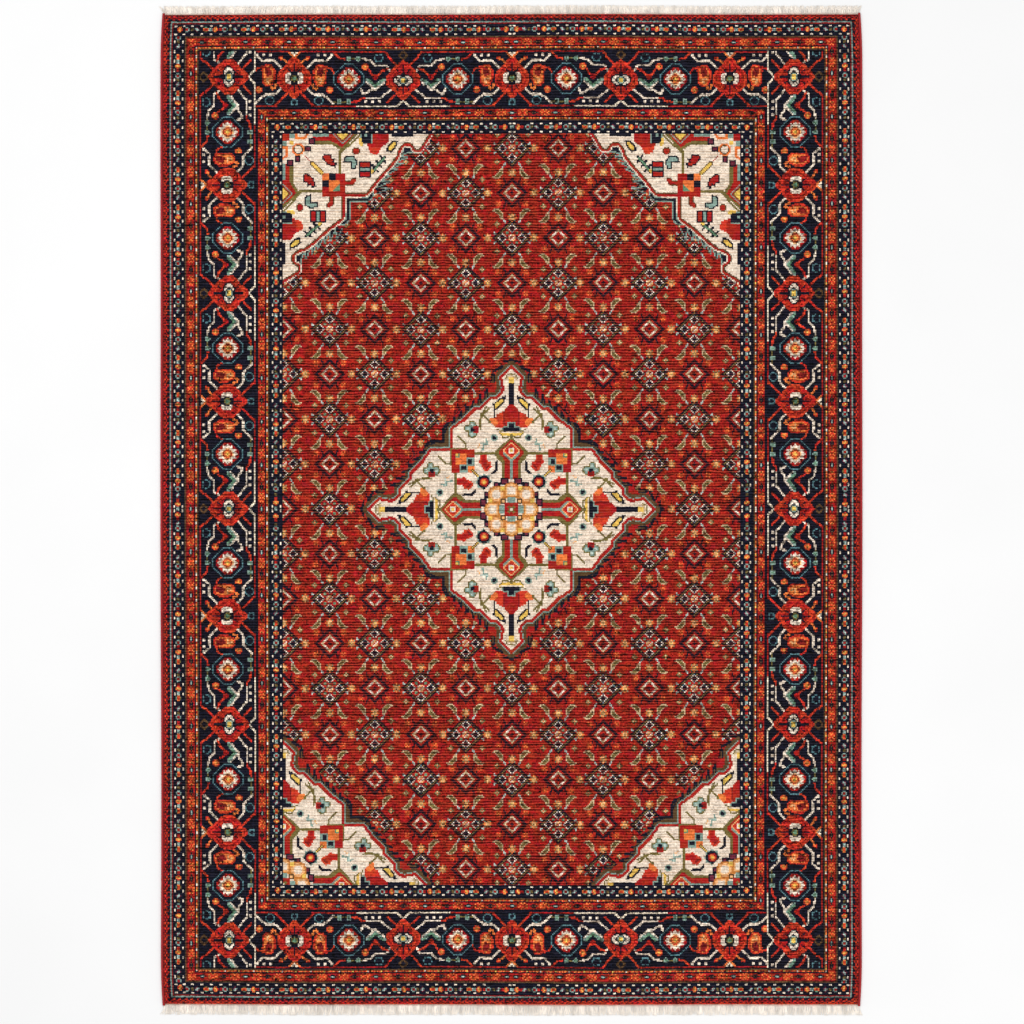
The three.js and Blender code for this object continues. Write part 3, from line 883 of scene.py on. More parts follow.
def draw_border(rug):
    """Draws the four sides of the border, mitred at the corners."""
    unit = draw_border_unit()
    end = draw_border_side(unit, **END_SIDE)
    side = draw_border_side(np.delete(unit, SHORTENED_AT, axis=1), **LONG_SIDE)
    columns, rows = np.arange(KNOTS_ACROSS)[None, :], np.arange(KNOT_ROWS)[:, None]
    to_end = np.minimum(rows, KNOT_ROWS - 1 - rows)
    to_side = np.minimum(columns, KNOTS_ACROSS - 1 - columns)
    by_end = np.zeros_like(rug.yarns)
    by_end[:BORDER] = end[::-1]
    by_end[-BORDER:] = end
    by_side = np.zeros_like(rug.yarns)
    by_side[:, -BORDER:] = side.T
    by_side[:, :BORDER] = side.T[:, ::-1]
    border = np.minimum(to_end, to_side) < BORDER
    main_ring = EDGE_BAND + BEAD_BAND + STRIPE_BAND
    in_main_corner = (to_end >= main_ring) & (to_side >= main_ring) & (to_end < main_ring + MAIN_BAND)
    in_main_corner &= to_side < main_ring + MAIN_BAND
    chosen = np.where((to_end <= to_side) & ~in_main_corner, by_end, by_side)
    rug.yarns = np.where(border, chosen, rug.yarns)
    rug.paint("B", rug.h < 1 - KNOT_ROWS / 2)
    for ring in (EDGE_BAND, BORDER - BEAD_BAND):
        for side, end in CORNERS:
            u = side * (KNOTS_ACROSS / 2 - ring - BEAD_BAND / 2)
            h = end * (KNOT_ROWS / 2 - ring - BEAD_BAND / 2)
            rug.box("N", u - BEAD_BAND / 2, h - BEAD_BAND / 2, u + BEAD_BAND / 2, h + BEAD_BAND / 2)
            rug.stamp(BEADS["star"], (u, h))
            for away in (-3, 3):
                rug.stamp("WW", (u + away, h - away), (u + away, h + away))


# ---------------------------------------------------------------- shapes

def settled(points):
    """Moves places on the flat rug to where they come to lie: its sides wave a little, its ends draw in."""
    points = np.array(points, dtype=float)
    x, y = points[..., 0].copy(), points[..., 1].copy()
    pinch = bpy.context.scene.rug_sizes.corner_pinch / CORD_PLACE
    near_end = np.clip((abs(y) - PINCH_START) / PINCH_LENGTH, 0, 1)
    long_wave = 0.0011 * np.sin(2.3 * y + 0.6)
    short_wave = 0.0007 * np.sin(6.1 * y + 2)
    points[..., 0] = x * (1 + long_wave + short_wave - pinch * near_end ** 2)
    points[..., 1] = y * (1 + 0.0006 * np.sin(3.1 * x + 1) + 0.0004 * np.sin(9.7 * x))
    return points


def deselect_all():
    """Leaves edit mode and deselects every object."""
    if bpy.context.object and bpy.context.object.mode != "OBJECT":
        bpy.ops.object.mode_set(mode="OBJECT")
    bpy.ops.object.select_all(action="DESELECT")


def finish_piece(piece, material, slot, *nodes):
    """Gives a piece its material, and tells the frame what it stands for."""
    piece.data.materials.clear()
    piece.data.materials.append(material)
    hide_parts(*nodes)
    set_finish(piece, slot)
    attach(piece, "root")
    return piece


def new_mesh_object(name, vertices, faces):
    """Makes a smooth-shaded mesh object from vertices and faces."""
    mesh = bpy.data.meshes.new(name)
    mesh.from_pydata(np.asarray(vertices).tolist(), [], faces)
    mesh.polygons.foreach_set("use_smooth", np.ones(len(mesh.polygons), dtype=bool))
    mesh.update()
    piece = bpy.data.objects.new(name, mesh)
    bpy.context.scene.collection.objects.link(piece)
    return piece


class Tubes:
    """Gathers closed tubes, such as yarns and cords, into one mesh."""

    def __init__(self):
        self.vertices = []
        self.faces = []

    def add(self, path, radii, sides):
        """Adds a tube along the path. radii has one radius for each point, or for each point and side."""
        path = np.asarray(path, dtype=float)
        radii = np.broadcast_to(np.asarray(radii, dtype=float).reshape(len(path), -1), (len(path), sides))
        ahead = np.gradient(path, axis=0)
        ahead /= np.linalg.norm(ahead, axis=1)[:, None]
        across = np.cross(ahead, (0, 0, 1))
        across /= np.linalg.norm(across, axis=1)[:, None]
        above = np.cross(across, ahead)
        turn = np.arange(sides) * 2 * np.pi / sides
        ring = (across[:, None] * np.cos(turn)[None, :, None]
                + above[:, None] * np.sin(turn)[None, :, None])
        first = len(self.vertices)
        self.vertices.extend((path[:, None] + ring * radii[..., None]).reshape(-1, 3))
        for along in range(len(path) - 1):
            for side in range(sides):
                beside = (side + 1) % sides
                low, high = first + along * sides, first + (along + 1) * sides
                self.faces.append((low + side, low + beside, high + beside, high + side))
        last = first + (len(path) - 1) * sides
        self.faces.append(tuple(first + side for side in reversed(range(sides))))
        self.faces.append(tuple(last + side for side in range(sides)))


def pile_places(sizes):
    """Returns where every corner between four knots stands, with rows that wander and dip in the ribs."""
    draw = np.random.default_rng(PILE_SEED)
    columns, rows = np.meshgrid(np.arange(KNOTS_ACROSS + 1), np.arange(KNOT_ROWS + 1))
    x = (columns - KNOTS_ACROSS / 2) * KNOT_PITCH
    y = (rows - KNOT_ROWS / 2) * KNOT_PITCH
    wander = 0.14 * KNOT_PITCH * draw.standard_normal(x.shape)
    wander += 0.25 * KNOT_PITCH * np.sin(9 * x + 3 * np.sin(4 * y)) * np.sin(11 * y)
    to_edge = np.minimum(np.minimum(columns, KNOTS_ACROSS - columns), np.minimum(rows, KNOT_ROWS - rows))
    wander[to_edge == 0] = 0
    rib = (rows % 2) * (0.7 + 0.3 * np.sin(7 * x + 31 * y))
    drop = sizes.rib_depth * rib + sizes.pile_unevenness * abs(draw.standard_normal(x.shape))
    drop += sizes.edge_droop * np.exp(-to_edge / DROOP_KNOTS)
    return settled(np.stack([x, y + wander, PILE_HIGH - np.minimum(drop, DEEPEST_DIP)], axis=-1))


def knots_inside_medallions():
    """Tells for every knot which medallion it is in: 0 for none, or a number in MEDALLIONS from 1."""
    columns, rows = np.meshgrid(np.arange(KNOTS_ACROSS) + 0.5, np.arange(KNOT_ROWS) + 0.5)
    quarter = [(0, 0)] + outline_quarter()
    across, along = KNOTS_ACROSS / 2, KNOT_ROWS / 2
    found = np.zeros(columns.shape, dtype=int)
    for number, (side, end) in enumerate(MEDALLIONS.values(), start=1):
        if side:
            u = across - BORDER - side * (columns - across)
            h = along - BORDER - end * (rows - along)
        else:
            u, h = abs(columns - across), abs(rows - along)
        found[inside(quarter, u, h)] = number
    return found


def read(items, name, width, kind=np.float32):
    """Reads one attribute of all a mesh's items as an array."""
    found = np.empty(len(items) * width, dtype=kind)
    items.foreach_get(name, found)
    return found if width == 1 else found.reshape(-1, width)


def make_grid(name, columns, rows):
    """Makes a grid from -1 to 1, and returns it with the column and row of each corner and each face."""
    deselect_all()
    bpy.ops.mesh.primitive_grid_add(x_subdivisions=columns, y_subdivisions=rows, size=2)
    piece = bpy.context.object
    piece.name = piece.data.name = name
    corners = read(piece.data.vertices, "co", 3)[:, :2]
    centres = read(piece.data.polygons, "center", 3)[:, :2]
    corner_steps = np.rint((corners + 1) / 2 * (columns, rows)).astype(int)
    face_steps = np.floor((centres + 1) / 2 * (columns, rows)).astype(int)
    return piece, corner_steps, face_steps


def move_corners(mesh, places):
    """Puts every corner of a mesh at its new place."""
    mesh.vertices.foreach_set("co", places.astype(np.float32).ravel())


def number_yarns(mesh, numbers):
    """Gives every face of a mesh the number of its yarn."""
    attribute = mesh.attributes.new("yarn_number", "FLOAT", "FACE")
    attribute.data.foreach_set("value", numbers.astype(np.float32))


def drop_faces(mesh, dropped):
    """Deletes the faces that are marked in the array."""
    bpy.ops.object.mode_set(mode="EDIT")
    bpy.ops.mesh.select_mode(type="FACE")
    bpy.ops.mesh.select_all(action="DESELECT")
    bpy.ops.object.mode_set(mode="OBJECT")
    mesh.polygons.foreach_set("select", dropped)
    bpy.ops.object.mode_set(mode="EDIT")
    bpy.ops.mesh.delete(type="FACE")
    bpy.ops.object.mode_set(mode="OBJECT")


def close_under(mesh, height):
    """Closes a surface: walls run from its open edge to the height, and a flat face joins them there."""
    bpy.ops.object.mode_set(mode="EDIT")
    bpy.ops.mesh.select_mode(type="FACE")
    bpy.ops.mesh.select_all(action="SELECT")
    bpy.ops.mesh.region_to_loop()
    bpy.ops.mesh.extrude_edges_move()
    bpy.ops.object.mode_set(mode="OBJECT")
    corners = read(mesh.vertices, "co", 3)
    corners[read(mesh.vertices, "select", 1, bool), 2] = height
    move_corners(mesh, corners)
    bpy.ops.object.mode_set(mode="EDIT")
    bpy.ops.mesh.edge_face_add()
    bpy.ops.mesh.select_all(action="SELECT")
    bpy.ops.mesh.normals_make_consistent(inside=False)
    bpy.ops.object.mode_set(mode="OBJECT")


class Pile:
    """What all pieces of pile share: the drawing, the places of the knots' corners and the materials."""

    def __init__(self, sizes):
        self.yarns = draw_rug()
        self.places = pile_places(sizes)
        self.materials = {slot: make_pile_material(slot.replace("_", " "), *shade_and_dye)
                          for slot, shade_and_dye in PILE_SHADE_AND_DYE.items()}

    def add_block(self, name, node, slot, reach, keep=None):
        """Makes a piece with a face for every knot in reach = (left, front, right, back), and its walls."""
        left, front, right, back = reach
        piece, corner_steps, face_steps = make_grid(name, right - left, back - front)
        mesh = piece.data
        column, row = (corner_steps + (left, front)).T
        move_corners(mesh, self.places[row, column])
        column, row = (face_steps + (left, front)).T
        number_yarns(mesh, self.yarns[row, column])
        if keep is not None:
            drop_faces(mesh, ~keep[row, column])
        close_under(mesh, PILE_LOW)
        dress_walls(mesh, self.yarns)
        bpy.ops.object.shade_smooth_by_angle(angle=SMOOTH_ANGLE)
        finish_piece(piece, self.materials[slot], slot, node)

    def add_shape(self, name, node, slot, keep):
        """Makes a piece of the knots that are marked in the array."""
        columns = np.flatnonzero(keep.any(axis=0))
        rows = np.flatnonzero(keep.any(axis=1))
        reach = (columns[0], rows[0], columns[-1] + 1, rows[-1] + 1)
        self.add_block(name, node, slot, [int(end) for end in reach], keep)


def dress_walls(mesh, yarns):
    """Gives each wall face the yarn of the knot that it hangs from, and lays out the map for baking."""
    centres = read(mesh.polygons, "center", 3)
    normals = read(mesh.polygons, "normal", 3)
    attribute = mesh.attributes["yarn_number"]
    values = read(attribute.data, "value", 1)
    wall = abs(normals[:, 2]) < 0.5
    inner = centres - normals * KNOT_PITCH / 2
    column = np.clip(np.floor(inner[:, 0] / KNOT_PITCH + KNOTS_ACROSS / 2), 0, KNOTS_ACROSS - 1).astype(int)
    row = np.clip(np.floor(inner[:, 1] / KNOT_PITCH + KNOT_ROWS / 2), 0, KNOT_ROWS - 1).astype(int)
    values[wall] = yarns[row, column][wall]
    attribute.data.foreach_set("value", values)
    lay_out_map(mesh, normals)


def lay_out_map(mesh, normals):
    """Lays the piece out flat from above, its walls spread outwards and its hidden floor in a strip."""
    corners = read(mesh.vertices, "co", 3)
    low, high = corners.min(axis=0), corners.max(axis=0)
    spread = corners[:, :2] - (low[:2] + high[:2]) / 2
    depth = (high[2] - corners[:, 2])[:, None]
    flat = spread + np.sign(spread) * np.clip(depth - WALL_START, 0, None) * WALL_SPREAD
    flat = 0.5 + 0.49 * flat / abs(flat).max(axis=0)
    flat[:, 1] = FLOOR_STRIP + (1 - FLOOR_STRIP) * flat[:, 1]
    places = flat[read(mesh.loops, "vertex_index", 1, np.int32)]
    starts = read(mesh.polygons, "loop_start", 1, np.int32)
    counts = read(mesh.polygons, "loop_total", 1, np.int32)
    for face in np.flatnonzero(normals[:, 2] < -0.5):
        part = slice(starts[face], starts[face] + counts[face])
        places[part] *= (1, 0.75 * FLOOR_STRIP)
    for layer in list(mesh.uv_layers):
        mesh.uv_layers.remove(layer)
    layer = mesh.uv_layers.new(name="OFBake")
    layer.uv.foreach_set("vector", places.astype(np.float32).ravel())


# ---------------------------------------------------------------- finishes

class Tree:
    """Adds nodes to one node tree and joins them up."""

    def __init__(self, tree):
        self.tree = tree

    def add(self, kind, *inputs, **settings):
        """Adds a node. Each input is (socket name or number, value or the socket that feeds it)."""
        node = self.tree.nodes.new(kind)
        for name, value in settings.items():
            setattr(node, name, value)
        for name, value in inputs:
            self.feed(node.inputs[name], value)
        return node

    def feed(self, socket, value):
        if isinstance(value, bpy.types.NodeSocket):
            self.tree.links.new(value, socket)
        else:
            socket.default_value = value

    def maths(self, operation, *values):
        node = self.add("ShaderNodeMath", *enumerate(values), operation=operation)
        return node.outputs[0]

    def ripple(self, value, turn):
        """Turns a value into a row of rounded humps, by the size of the sine of turn times the value."""
        return self.maths("ABSOLUTE", self.maths("SINE", self.maths("MULTIPLY", value, turn)))

    def mix(self, factor, a, b, blend="MIX"):
        """Mixes two colours and returns the outcome."""
        node = self.add("ShaderNodeMix", data_type="RGBA", blend_type=blend)
        self.feed(node.inputs[0], factor)
        self.feed(node.inputs[6], a)
        self.feed(node.inputs[7], b)
        return node.outputs[2]

    def spread(self, value, low, high, new_low, new_high):
        """Maps a value from one range to another, held at its ends."""
        node = self.add("ShaderNodeMapRange", ("Value", value), ("From Min", low), ("From Max", high),
                        ("To Min", new_low), ("To Max", new_high))
        return node.outputs[0]

    def noise(self, vector, scale, detail=2.0, roughness=0.5):
        node = self.add("ShaderNodeTexNoise", ("Vector", vector), ("Scale", scale), ("Detail", detail),
                        ("Roughness", roughness))
        return node.outputs[0]

    def stretched(self, vector, x, y, z):
        node = self.add("ShaderNodeMapping", ("Vector", vector), ("Scale", (x, y, z)))
        return node.outputs[0]


def new_group(name, inputs, outputs):
    """Starts a node group with the named sockets, and returns its tree, its input and its output node."""
    group = bpy.data.node_groups.new(name, "ShaderNodeTree")
    for socket, kind, default in inputs:
        made = group.interface.new_socket(socket, in_out="INPUT", socket_type=kind)
        if default is not None:
            made.default_value = default
    for socket, kind in outputs:
        group.interface.new_socket(socket, in_out="OUTPUT", socket_type=kind)
    tree = Tree(group)
    return tree, tree.add("NodeGroupInput"), tree.add("NodeGroupOutput")


def make_yarn_and_row_shade_group():
    """A yarn number's dye, with the uneven take-up of hand dyeing from batch to batch and tuft to tuft, and
    painted light and shade in streaks about two rows high that make the ribs look uneven.
    """
    tree, source, result = new_group(
        "Dyed yarn and row shade", [("Place", "NodeSocketVector", None), ("Yarn number", "NodeSocketFloat", 1.0),
                      ("Unevenness", "NodeSocketFloat", 1.0)],
        [("Colour", "NodeSocketColor")])
    ramp = tree.add("ShaderNodeValToRGB")
    ramp.color_ramp.interpolation = "CONSTANT"
    count = len(YARN_LETTERS)
    stops = ramp.color_ramp.elements
    for number, letter in enumerate(YARN_LETTERS):
        place = number / count
        stop = stops[number] if number < 2 else stops.new(place)
        stop.position = place
        stop.color = (*getattr(bpy.context.scene.rug_colours, "yarn_" + letter.lower()), 1)
    middle_of_stop = tree.maths("SUBTRACT", source.outputs["Yarn number"], 0.5)
    tree.feed(ramp.inputs[0], tree.maths("DIVIDE", middle_of_stop, float(count)))
    place = source.outputs["Place"]
    cell = tree.add("ShaderNodeVectorMath", (0, tree.stretched(place, 1 / KNOT_PITCH, 1 / KNOT_PITCH, 0)),
                    operation="FLOOR").outputs[0]
    tuft = tree.add("ShaderNodeTexWhiteNoise", ("Vector", cell), noise_dimensions="3D").outputs["Value"]
    batch = tree.noise(tree.stretched(place, 0.7, 9, 1), 2.2, 3.0)
    streak = tree.noise(tree.stretched(place, 55, 165, 0), 1.0, 2.0)
    lightness = tree.spread(tuft, 0, 1, -0.52, 0.46)
    lightness = tree.maths("ADD", lightness, tree.spread(batch, 0.3, 0.7, -0.12, 0.1))
    # Painted light and shade: streaks about two rows high and longer across that lighten and darken whole
    # ribs.
    lightness = tree.maths("ADD", lightness, tree.spread(streak, 0.3, 0.7, -0.45, 0.5))
    lightness = tree.maths("MULTIPLY", lightness, source.outputs["Unevenness"])
    shade = tree.add("ShaderNodeHueSaturation", ("Color", ramp.outputs[0]),
                     ("Value", tree.maths("ADD", lightness, 1.0)),
                     ("Hue", tree.spread(tree.noise(place, 60), 0.3, 0.7, 0.494, 0.506)))
    tree.feed(result.inputs["Colour"], shade.outputs[0])
    return tree.tree


def make_knot_rows_group():
    """The lie of knotted pile: ribs where two rows stand together, and the rounding of every tuft, as a
    height for the bump and as masks for painted shade in the valleys and gaps and a painted highlight on
    the crests.
    """
    tree, source, result = new_group(
        "Knot rows", [("Place", "NodeSocketVector", None), ("Pitch", "NodeSocketFloat", KNOT_PITCH)],
        [("Valley", "NodeSocketFloat"), ("Crest", "NodeSocketFloat"), ("Gap", "NodeSocketFloat"),
         ("Height", "NodeSocketFloat")])
    place = source.outputs["Place"]
    wander = tree.spread(tree.noise(tree.stretched(place, 1, 2.2, 0), 34, 2.0), 0.2, 0.8, -0.0016, 0.0016)
    parts = tree.add("ShaderNodeSeparateXYZ", (0, place))
    x = tree.maths("DIVIDE", parts.outputs[0], source.outputs["Pitch"])
    y = tree.maths("DIVIDE", tree.maths("ADD", parts.outputs[1], wander), source.outputs["Pitch"])
    pair = tree.ripple(y, np.pi / 2)
    strength = tree.spread(tree.noise(tree.stretched(place, 7, 150, 0), 1.0, 2.0), 0.35, 0.62, 0.15, 1.0)
    # Masks for painted shade in the valleys between pairs of rows and a painted highlight on their crests.
    valley = tree.maths("MULTIPLY", tree.spread(pair, 0.45, 0.95, 0, 1), strength)
    crest = tree.maths("MULTIPLY", tree.spread(pair, 0.5, 0.05, 0, 1), strength)
    tuft = tree.maths("POWER", tree.maths("MULTIPLY", tree.ripple(x, np.pi), tree.ripple(y, np.pi)), 0.5)
    height = tree.maths("SUBTRACT", tuft, tree.maths("MULTIPLY", valley, 0.8))
    # Mask for painted shade in the gaps between tufts.
    gap = tree.spread(tuft, 0.75, 0.2, 0, 1)
    for socket, value in (("Valley", valley), ("Crest", crest), ("Gap", gap), ("Height", height)):
        tree.feed(result.inputs[socket], value)
    return tree.tree


def make_fibres_group():
    """Fine fibres that lie along one way, as a height and as light and dark specks."""
    tree, source, result = new_group(
        "Fibres", [("Place", "NodeSocketVector", None), ("Fineness", "NodeSocketFloat", 900.0)],
        [("Height", "NodeSocketFloat"), ("Specks", "NodeSocketFloat")])
    lengthwise = tree.stretched(source.outputs["Place"], 1, 0.35, 1)
    fine = tree.noise(lengthwise, source.outputs["Fineness"], 3.0, 0.65)
    coarse = tree.noise(source.outputs["Place"], 240, 2.0)
    tree.feed(result.inputs["Height"], tree.maths("ADD", fine, tree.maths("MULTIPLY", coarse, 0.6)))
    tree.feed(result.inputs["Specks"], tree.spread(fine, 0.3, 0.7, -1, 1))
    return tree.tree


def place_group(tree, name, maker, *inputs):
    """Places a shared node group in a material. The group is made the first time it is asked for."""
    node = tree.add("ShaderNodeGroup", node_tree=bpy.data.node_groups.get(name) or maker())
    for socket, value in inputs:
        tree.feed(node.inputs[socket], value)
    return node


def new_material(name, roughness, sheen):
    """Starts a matt material, and returns it with its tree, its shader and the place on the object."""
    material = bpy.data.materials.new(name)
    material.use_nodes = True
    tree = Tree(material.node_tree)
    shader = material.node_tree.nodes["Principled BSDF"]
    shader.inputs["Roughness"].default_value = roughness
    shader.inputs["Specular IOR Level"].default_value = WOOL_SHINE
    shader.inputs["Sheen Weight"].default_value = sheen
    shader.inputs["Sheen Roughness"].default_value = 0.5
    place = tree.add("ShaderNodeTexCoord").outputs["Object"]
    return material, tree, shader, place


def make_pile_material(name, valley_shade, crest_light, gap_shade, unevenness):
    """Knotted wool: dyed yarn by knot, with painted shade between pairs of rows and in the gaps between
    tufts, and a painted highlight on the tips of the rows.
    """
    material, tree, shader, place = new_material(name, 0.95, 0.03)
    number = tree.add("ShaderNodeAttribute", attribute_name="yarn_number").outputs["Fac"]
    yarn_and_row_shade = place_group(tree, "Dyed yarn and row shade", make_yarn_and_row_shade_group, ("Place", place), ("Yarn number", number),
                       ("Unevenness", unevenness)).outputs["Colour"]
    rows = place_group(tree, "Knot rows", make_knot_rows_group, ("Place", place))
    fibres = place_group(tree, "Fibres", make_fibres_group, ("Place", place), ("Fineness", 700.0))
    # Painted shade is multiplied into the valleys between pairs of rows and the gaps between tufts; a
    # painted highlight is screened onto the crests.
    dark = tree.mix(1.0, yarn_and_row_shade, (*valley_shade, 1), "MULTIPLY")
    light = tree.mix(1.0, yarn_and_row_shade, (*crest_light, 1), "SCREEN")
    colour = tree.mix(rows.outputs["Valley"], yarn_and_row_shade, dark)
    colour = tree.mix(rows.outputs["Crest"], colour, light)
    colour = tree.mix(tree.maths("MULTIPLY", rows.outputs["Gap"], gap_shade), colour, dark)
    lit = tree.spread(fibres.outputs["Specks"], -1, 1, 0.86, 1.14)
    colour = tree.add("ShaderNodeHueSaturation", ("Color", colour), ("Value", lit)).outputs[0]
    tree.feed(shader.inputs["Base Color"], colour)
    fuzz = tree.maths("MULTIPLY", fibres.outputs["Height"], 0.5)
    height = tree.maths("ADD", rows.outputs["Height"], fuzz)
    bump = tree.add("ShaderNodeBump", ("Strength", 0.55), ("Distance", 0.0009), ("Height", height))
    tree.feed(shader.inputs["Normal"], bump.outputs[0])
    return material


def make_yarn_material(name, colour, wrap_pitch=0.0, twist=1.0):
    """Spun yarn or a wrapping of it: fibres, uneven shade and, where wrap_pitch is given, painted shade in
    the grooves between the turns.
    """
    material, tree, shader, place = new_material(name, 0.9, 0.08)
    fibres = place_group(tree, "Fibres", make_fibres_group, ("Place", place), ("Fineness", 1100.0))
    shade = tree.spread(tree.noise(tree.stretched(place, 1, 0.3, 1), 90, 2.0), 0.3, 0.7, 1 - 0.14 * twist,
                        1 + 0.08 * twist)
    shade = tree.maths("ADD", shade, tree.maths("MULTIPLY", fibres.outputs["Specks"], 0.06))
    height = fibres.outputs["Height"]
    if wrap_pitch:
        parts = tree.add("ShaderNodeSeparateXYZ", (0, place))
        turn = tree.maths("DIVIDE", parts.outputs[1], wrap_pitch)
        ridge = tree.ripple(turn, np.pi)
        # Painted shade in the grooves between the turns, a little lighter on their tops.
        shade = tree.maths("MULTIPLY", shade, tree.spread(ridge, 0, 0.6, 0.72, 1.04))
        height = tree.maths("ADD", height, tree.maths("MULTIPLY", ridge, 1.5))
    tint = tree.add("ShaderNodeHueSaturation", ("Color", (*colour, 1)), ("Value", shade))
    tree.feed(shader.inputs["Base Color"], tint.outputs[0])
    bump = tree.add("ShaderNodeBump", ("Strength", 0.5), ("Distance", 0.0004), ("Height", height))
    tree.feed(shader.inputs["Normal"], bump.outputs[0])
    return material


# ---------------------------------------------------------------- operators

class RUG_OT_make_pile(bpy.types.Operator):
    """Makes the knotted pile: the medallion, the corners, the field and the border bands"""

    bl_idname = "rug.make_pile"
    bl_label = "Make the pile"

    def execute(self, context):
        pile = Pile(context.scene.rug_sizes)
        medallions = knots_inside_medallions()
        for number, name in enumerate(MEDALLIONS, start=1):
            pile.add_shape(name, name + "_pile", "medallion_wool", medallions == number)
        rows = np.arange(KNOT_ROWS)[:, None]
        columns = np.arange(KNOTS_ACROSS)[None, :]
        in_field = (medallions == 0) & (rows >= BORDER) & (rows < KNOT_ROWS - BORDER)
        in_field = in_field & (columns >= BORDER) & (columns < KNOTS_ACROSS - BORDER)
        for half, chosen in (("front", rows < KNOT_ROWS // 2), ("back", rows >= KNOT_ROWS // 2)):
            pile.add_shape(half + "_field", "field_pile", "field_wool", in_field & chosen)
        outer = 0
        for band, width in BORDER_BANDS.items():
            inner = outer + width
            reaches = {
                "front": (outer, outer, KNOTS_ACROSS - outer, inner),
                "back": (outer, KNOT_ROWS - inner, KNOTS_ACROSS - outer, KNOT_ROWS - outer),
                "left": (outer, inner, inner, KNOT_ROWS - inner),
                "right": (KNOTS_ACROSS - inner, inner, KNOTS_ACROSS - outer, KNOT_ROWS - inner),
            }
            for side, reach in reaches.items():
                name = side + "_" + band
                pile.add_block(name, name + "_pile", BAND_SLOTS[band], reach)
            outer = inner
        return {"FINISHED"}


class RUG_OT_make_ground_weave(bpy.types.Operator):
    """Makes the ground weave under the pile, whose back shows the knots' colours"""

    bl_idname = "rug.make_ground_weave"
    bl_label = "Make the ground weave"

    # One face stands for this many knots each way, and the weave ends this far inside the pile, in metres.
    KNOTS_IN_FACE = 2
    INSET = 0.0006

    def execute(self, context):
        yarns = draw_rug()[::self.KNOTS_IN_FACE, ::self.KNOTS_IN_FACE]
        rows, columns = yarns.shape
        piece, _, face_steps = make_grid("ground_weave", columns, rows)
        mesh = piece.data
        number_yarns(mesh, yarns[face_steps[:, 1], face_steps[:, 0]])
        corners = read(mesh.vertices, "co", 3)
        corners *= (PILE_HALF_WIDTH - self.INSET, PILE_HALF_LENGTH - self.INSET, 0)
        draw = np.random.default_rng(WEAVE_SEED)
        corners[:, 2] = 0.0002 + 0.0003 * draw.random(len(corners))
        move_corners(mesh, settled(corners))
        mesh.flip_normals()
        close_under(mesh, WEAVE_TOP)
        # The back takes the pile's material, with painted shade in its valleys and gaps and a painted
        # highlight on its crests.
        material = make_pile_material("woven back", *BACK_SHADE_AND_DYE)
        finish_piece(piece, material, "cotton", "back_wefts", "face_wefts")
        return {"FINISHED"}


class RUG_OT_make_end_webs(bpy.types.Operator):
    """Makes the woven cotton web that closes each end of the pile"""

    bl_idname = "rug.make_end_webs"
    bl_label = "Make the end webs"

    # Weft yarns in a web, and the height of its underside in metres.
    PICKS = 8
    UNDERSIDE = 0.0003

    def execute(self, context):
        material = make_yarn_material("web cotton", context.scene.rug_colours.web)
        for name, node in (("front_web", "front_end_web"), ("back_web", "back_end_web")):
            low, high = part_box(node)
            piece, corner_steps, _ = make_grid(name, KNOTS_ACROSS, self.PICKS)
            warp, weft = corner_steps.T
            corners = read(piece.data.vertices, "co", 3)
            across, along = corners[:, 0].copy(), corners[:, 1].copy()
            corners[:, 0] = across * high.x
            corners[:, 1] = low.y + (along + 1) / 2 * (high.y - low.y)
            raised = 0.0005 * np.cos(np.pi * weft) * np.cos(np.pi * warp) - 0.0009 * along ** 8
            corners[:, 2] = high.z - 0.0008 + raised
            move_corners(piece.data, settled(corners))
            close_under(piece.data, self.UNDERSIDE)
            bpy.ops.object.shade_smooth_by_angle(angle=SMOOTH_ANGLE)
            finish_piece(piece, material, "web_cotton", node)
        return {"FINISHED"}


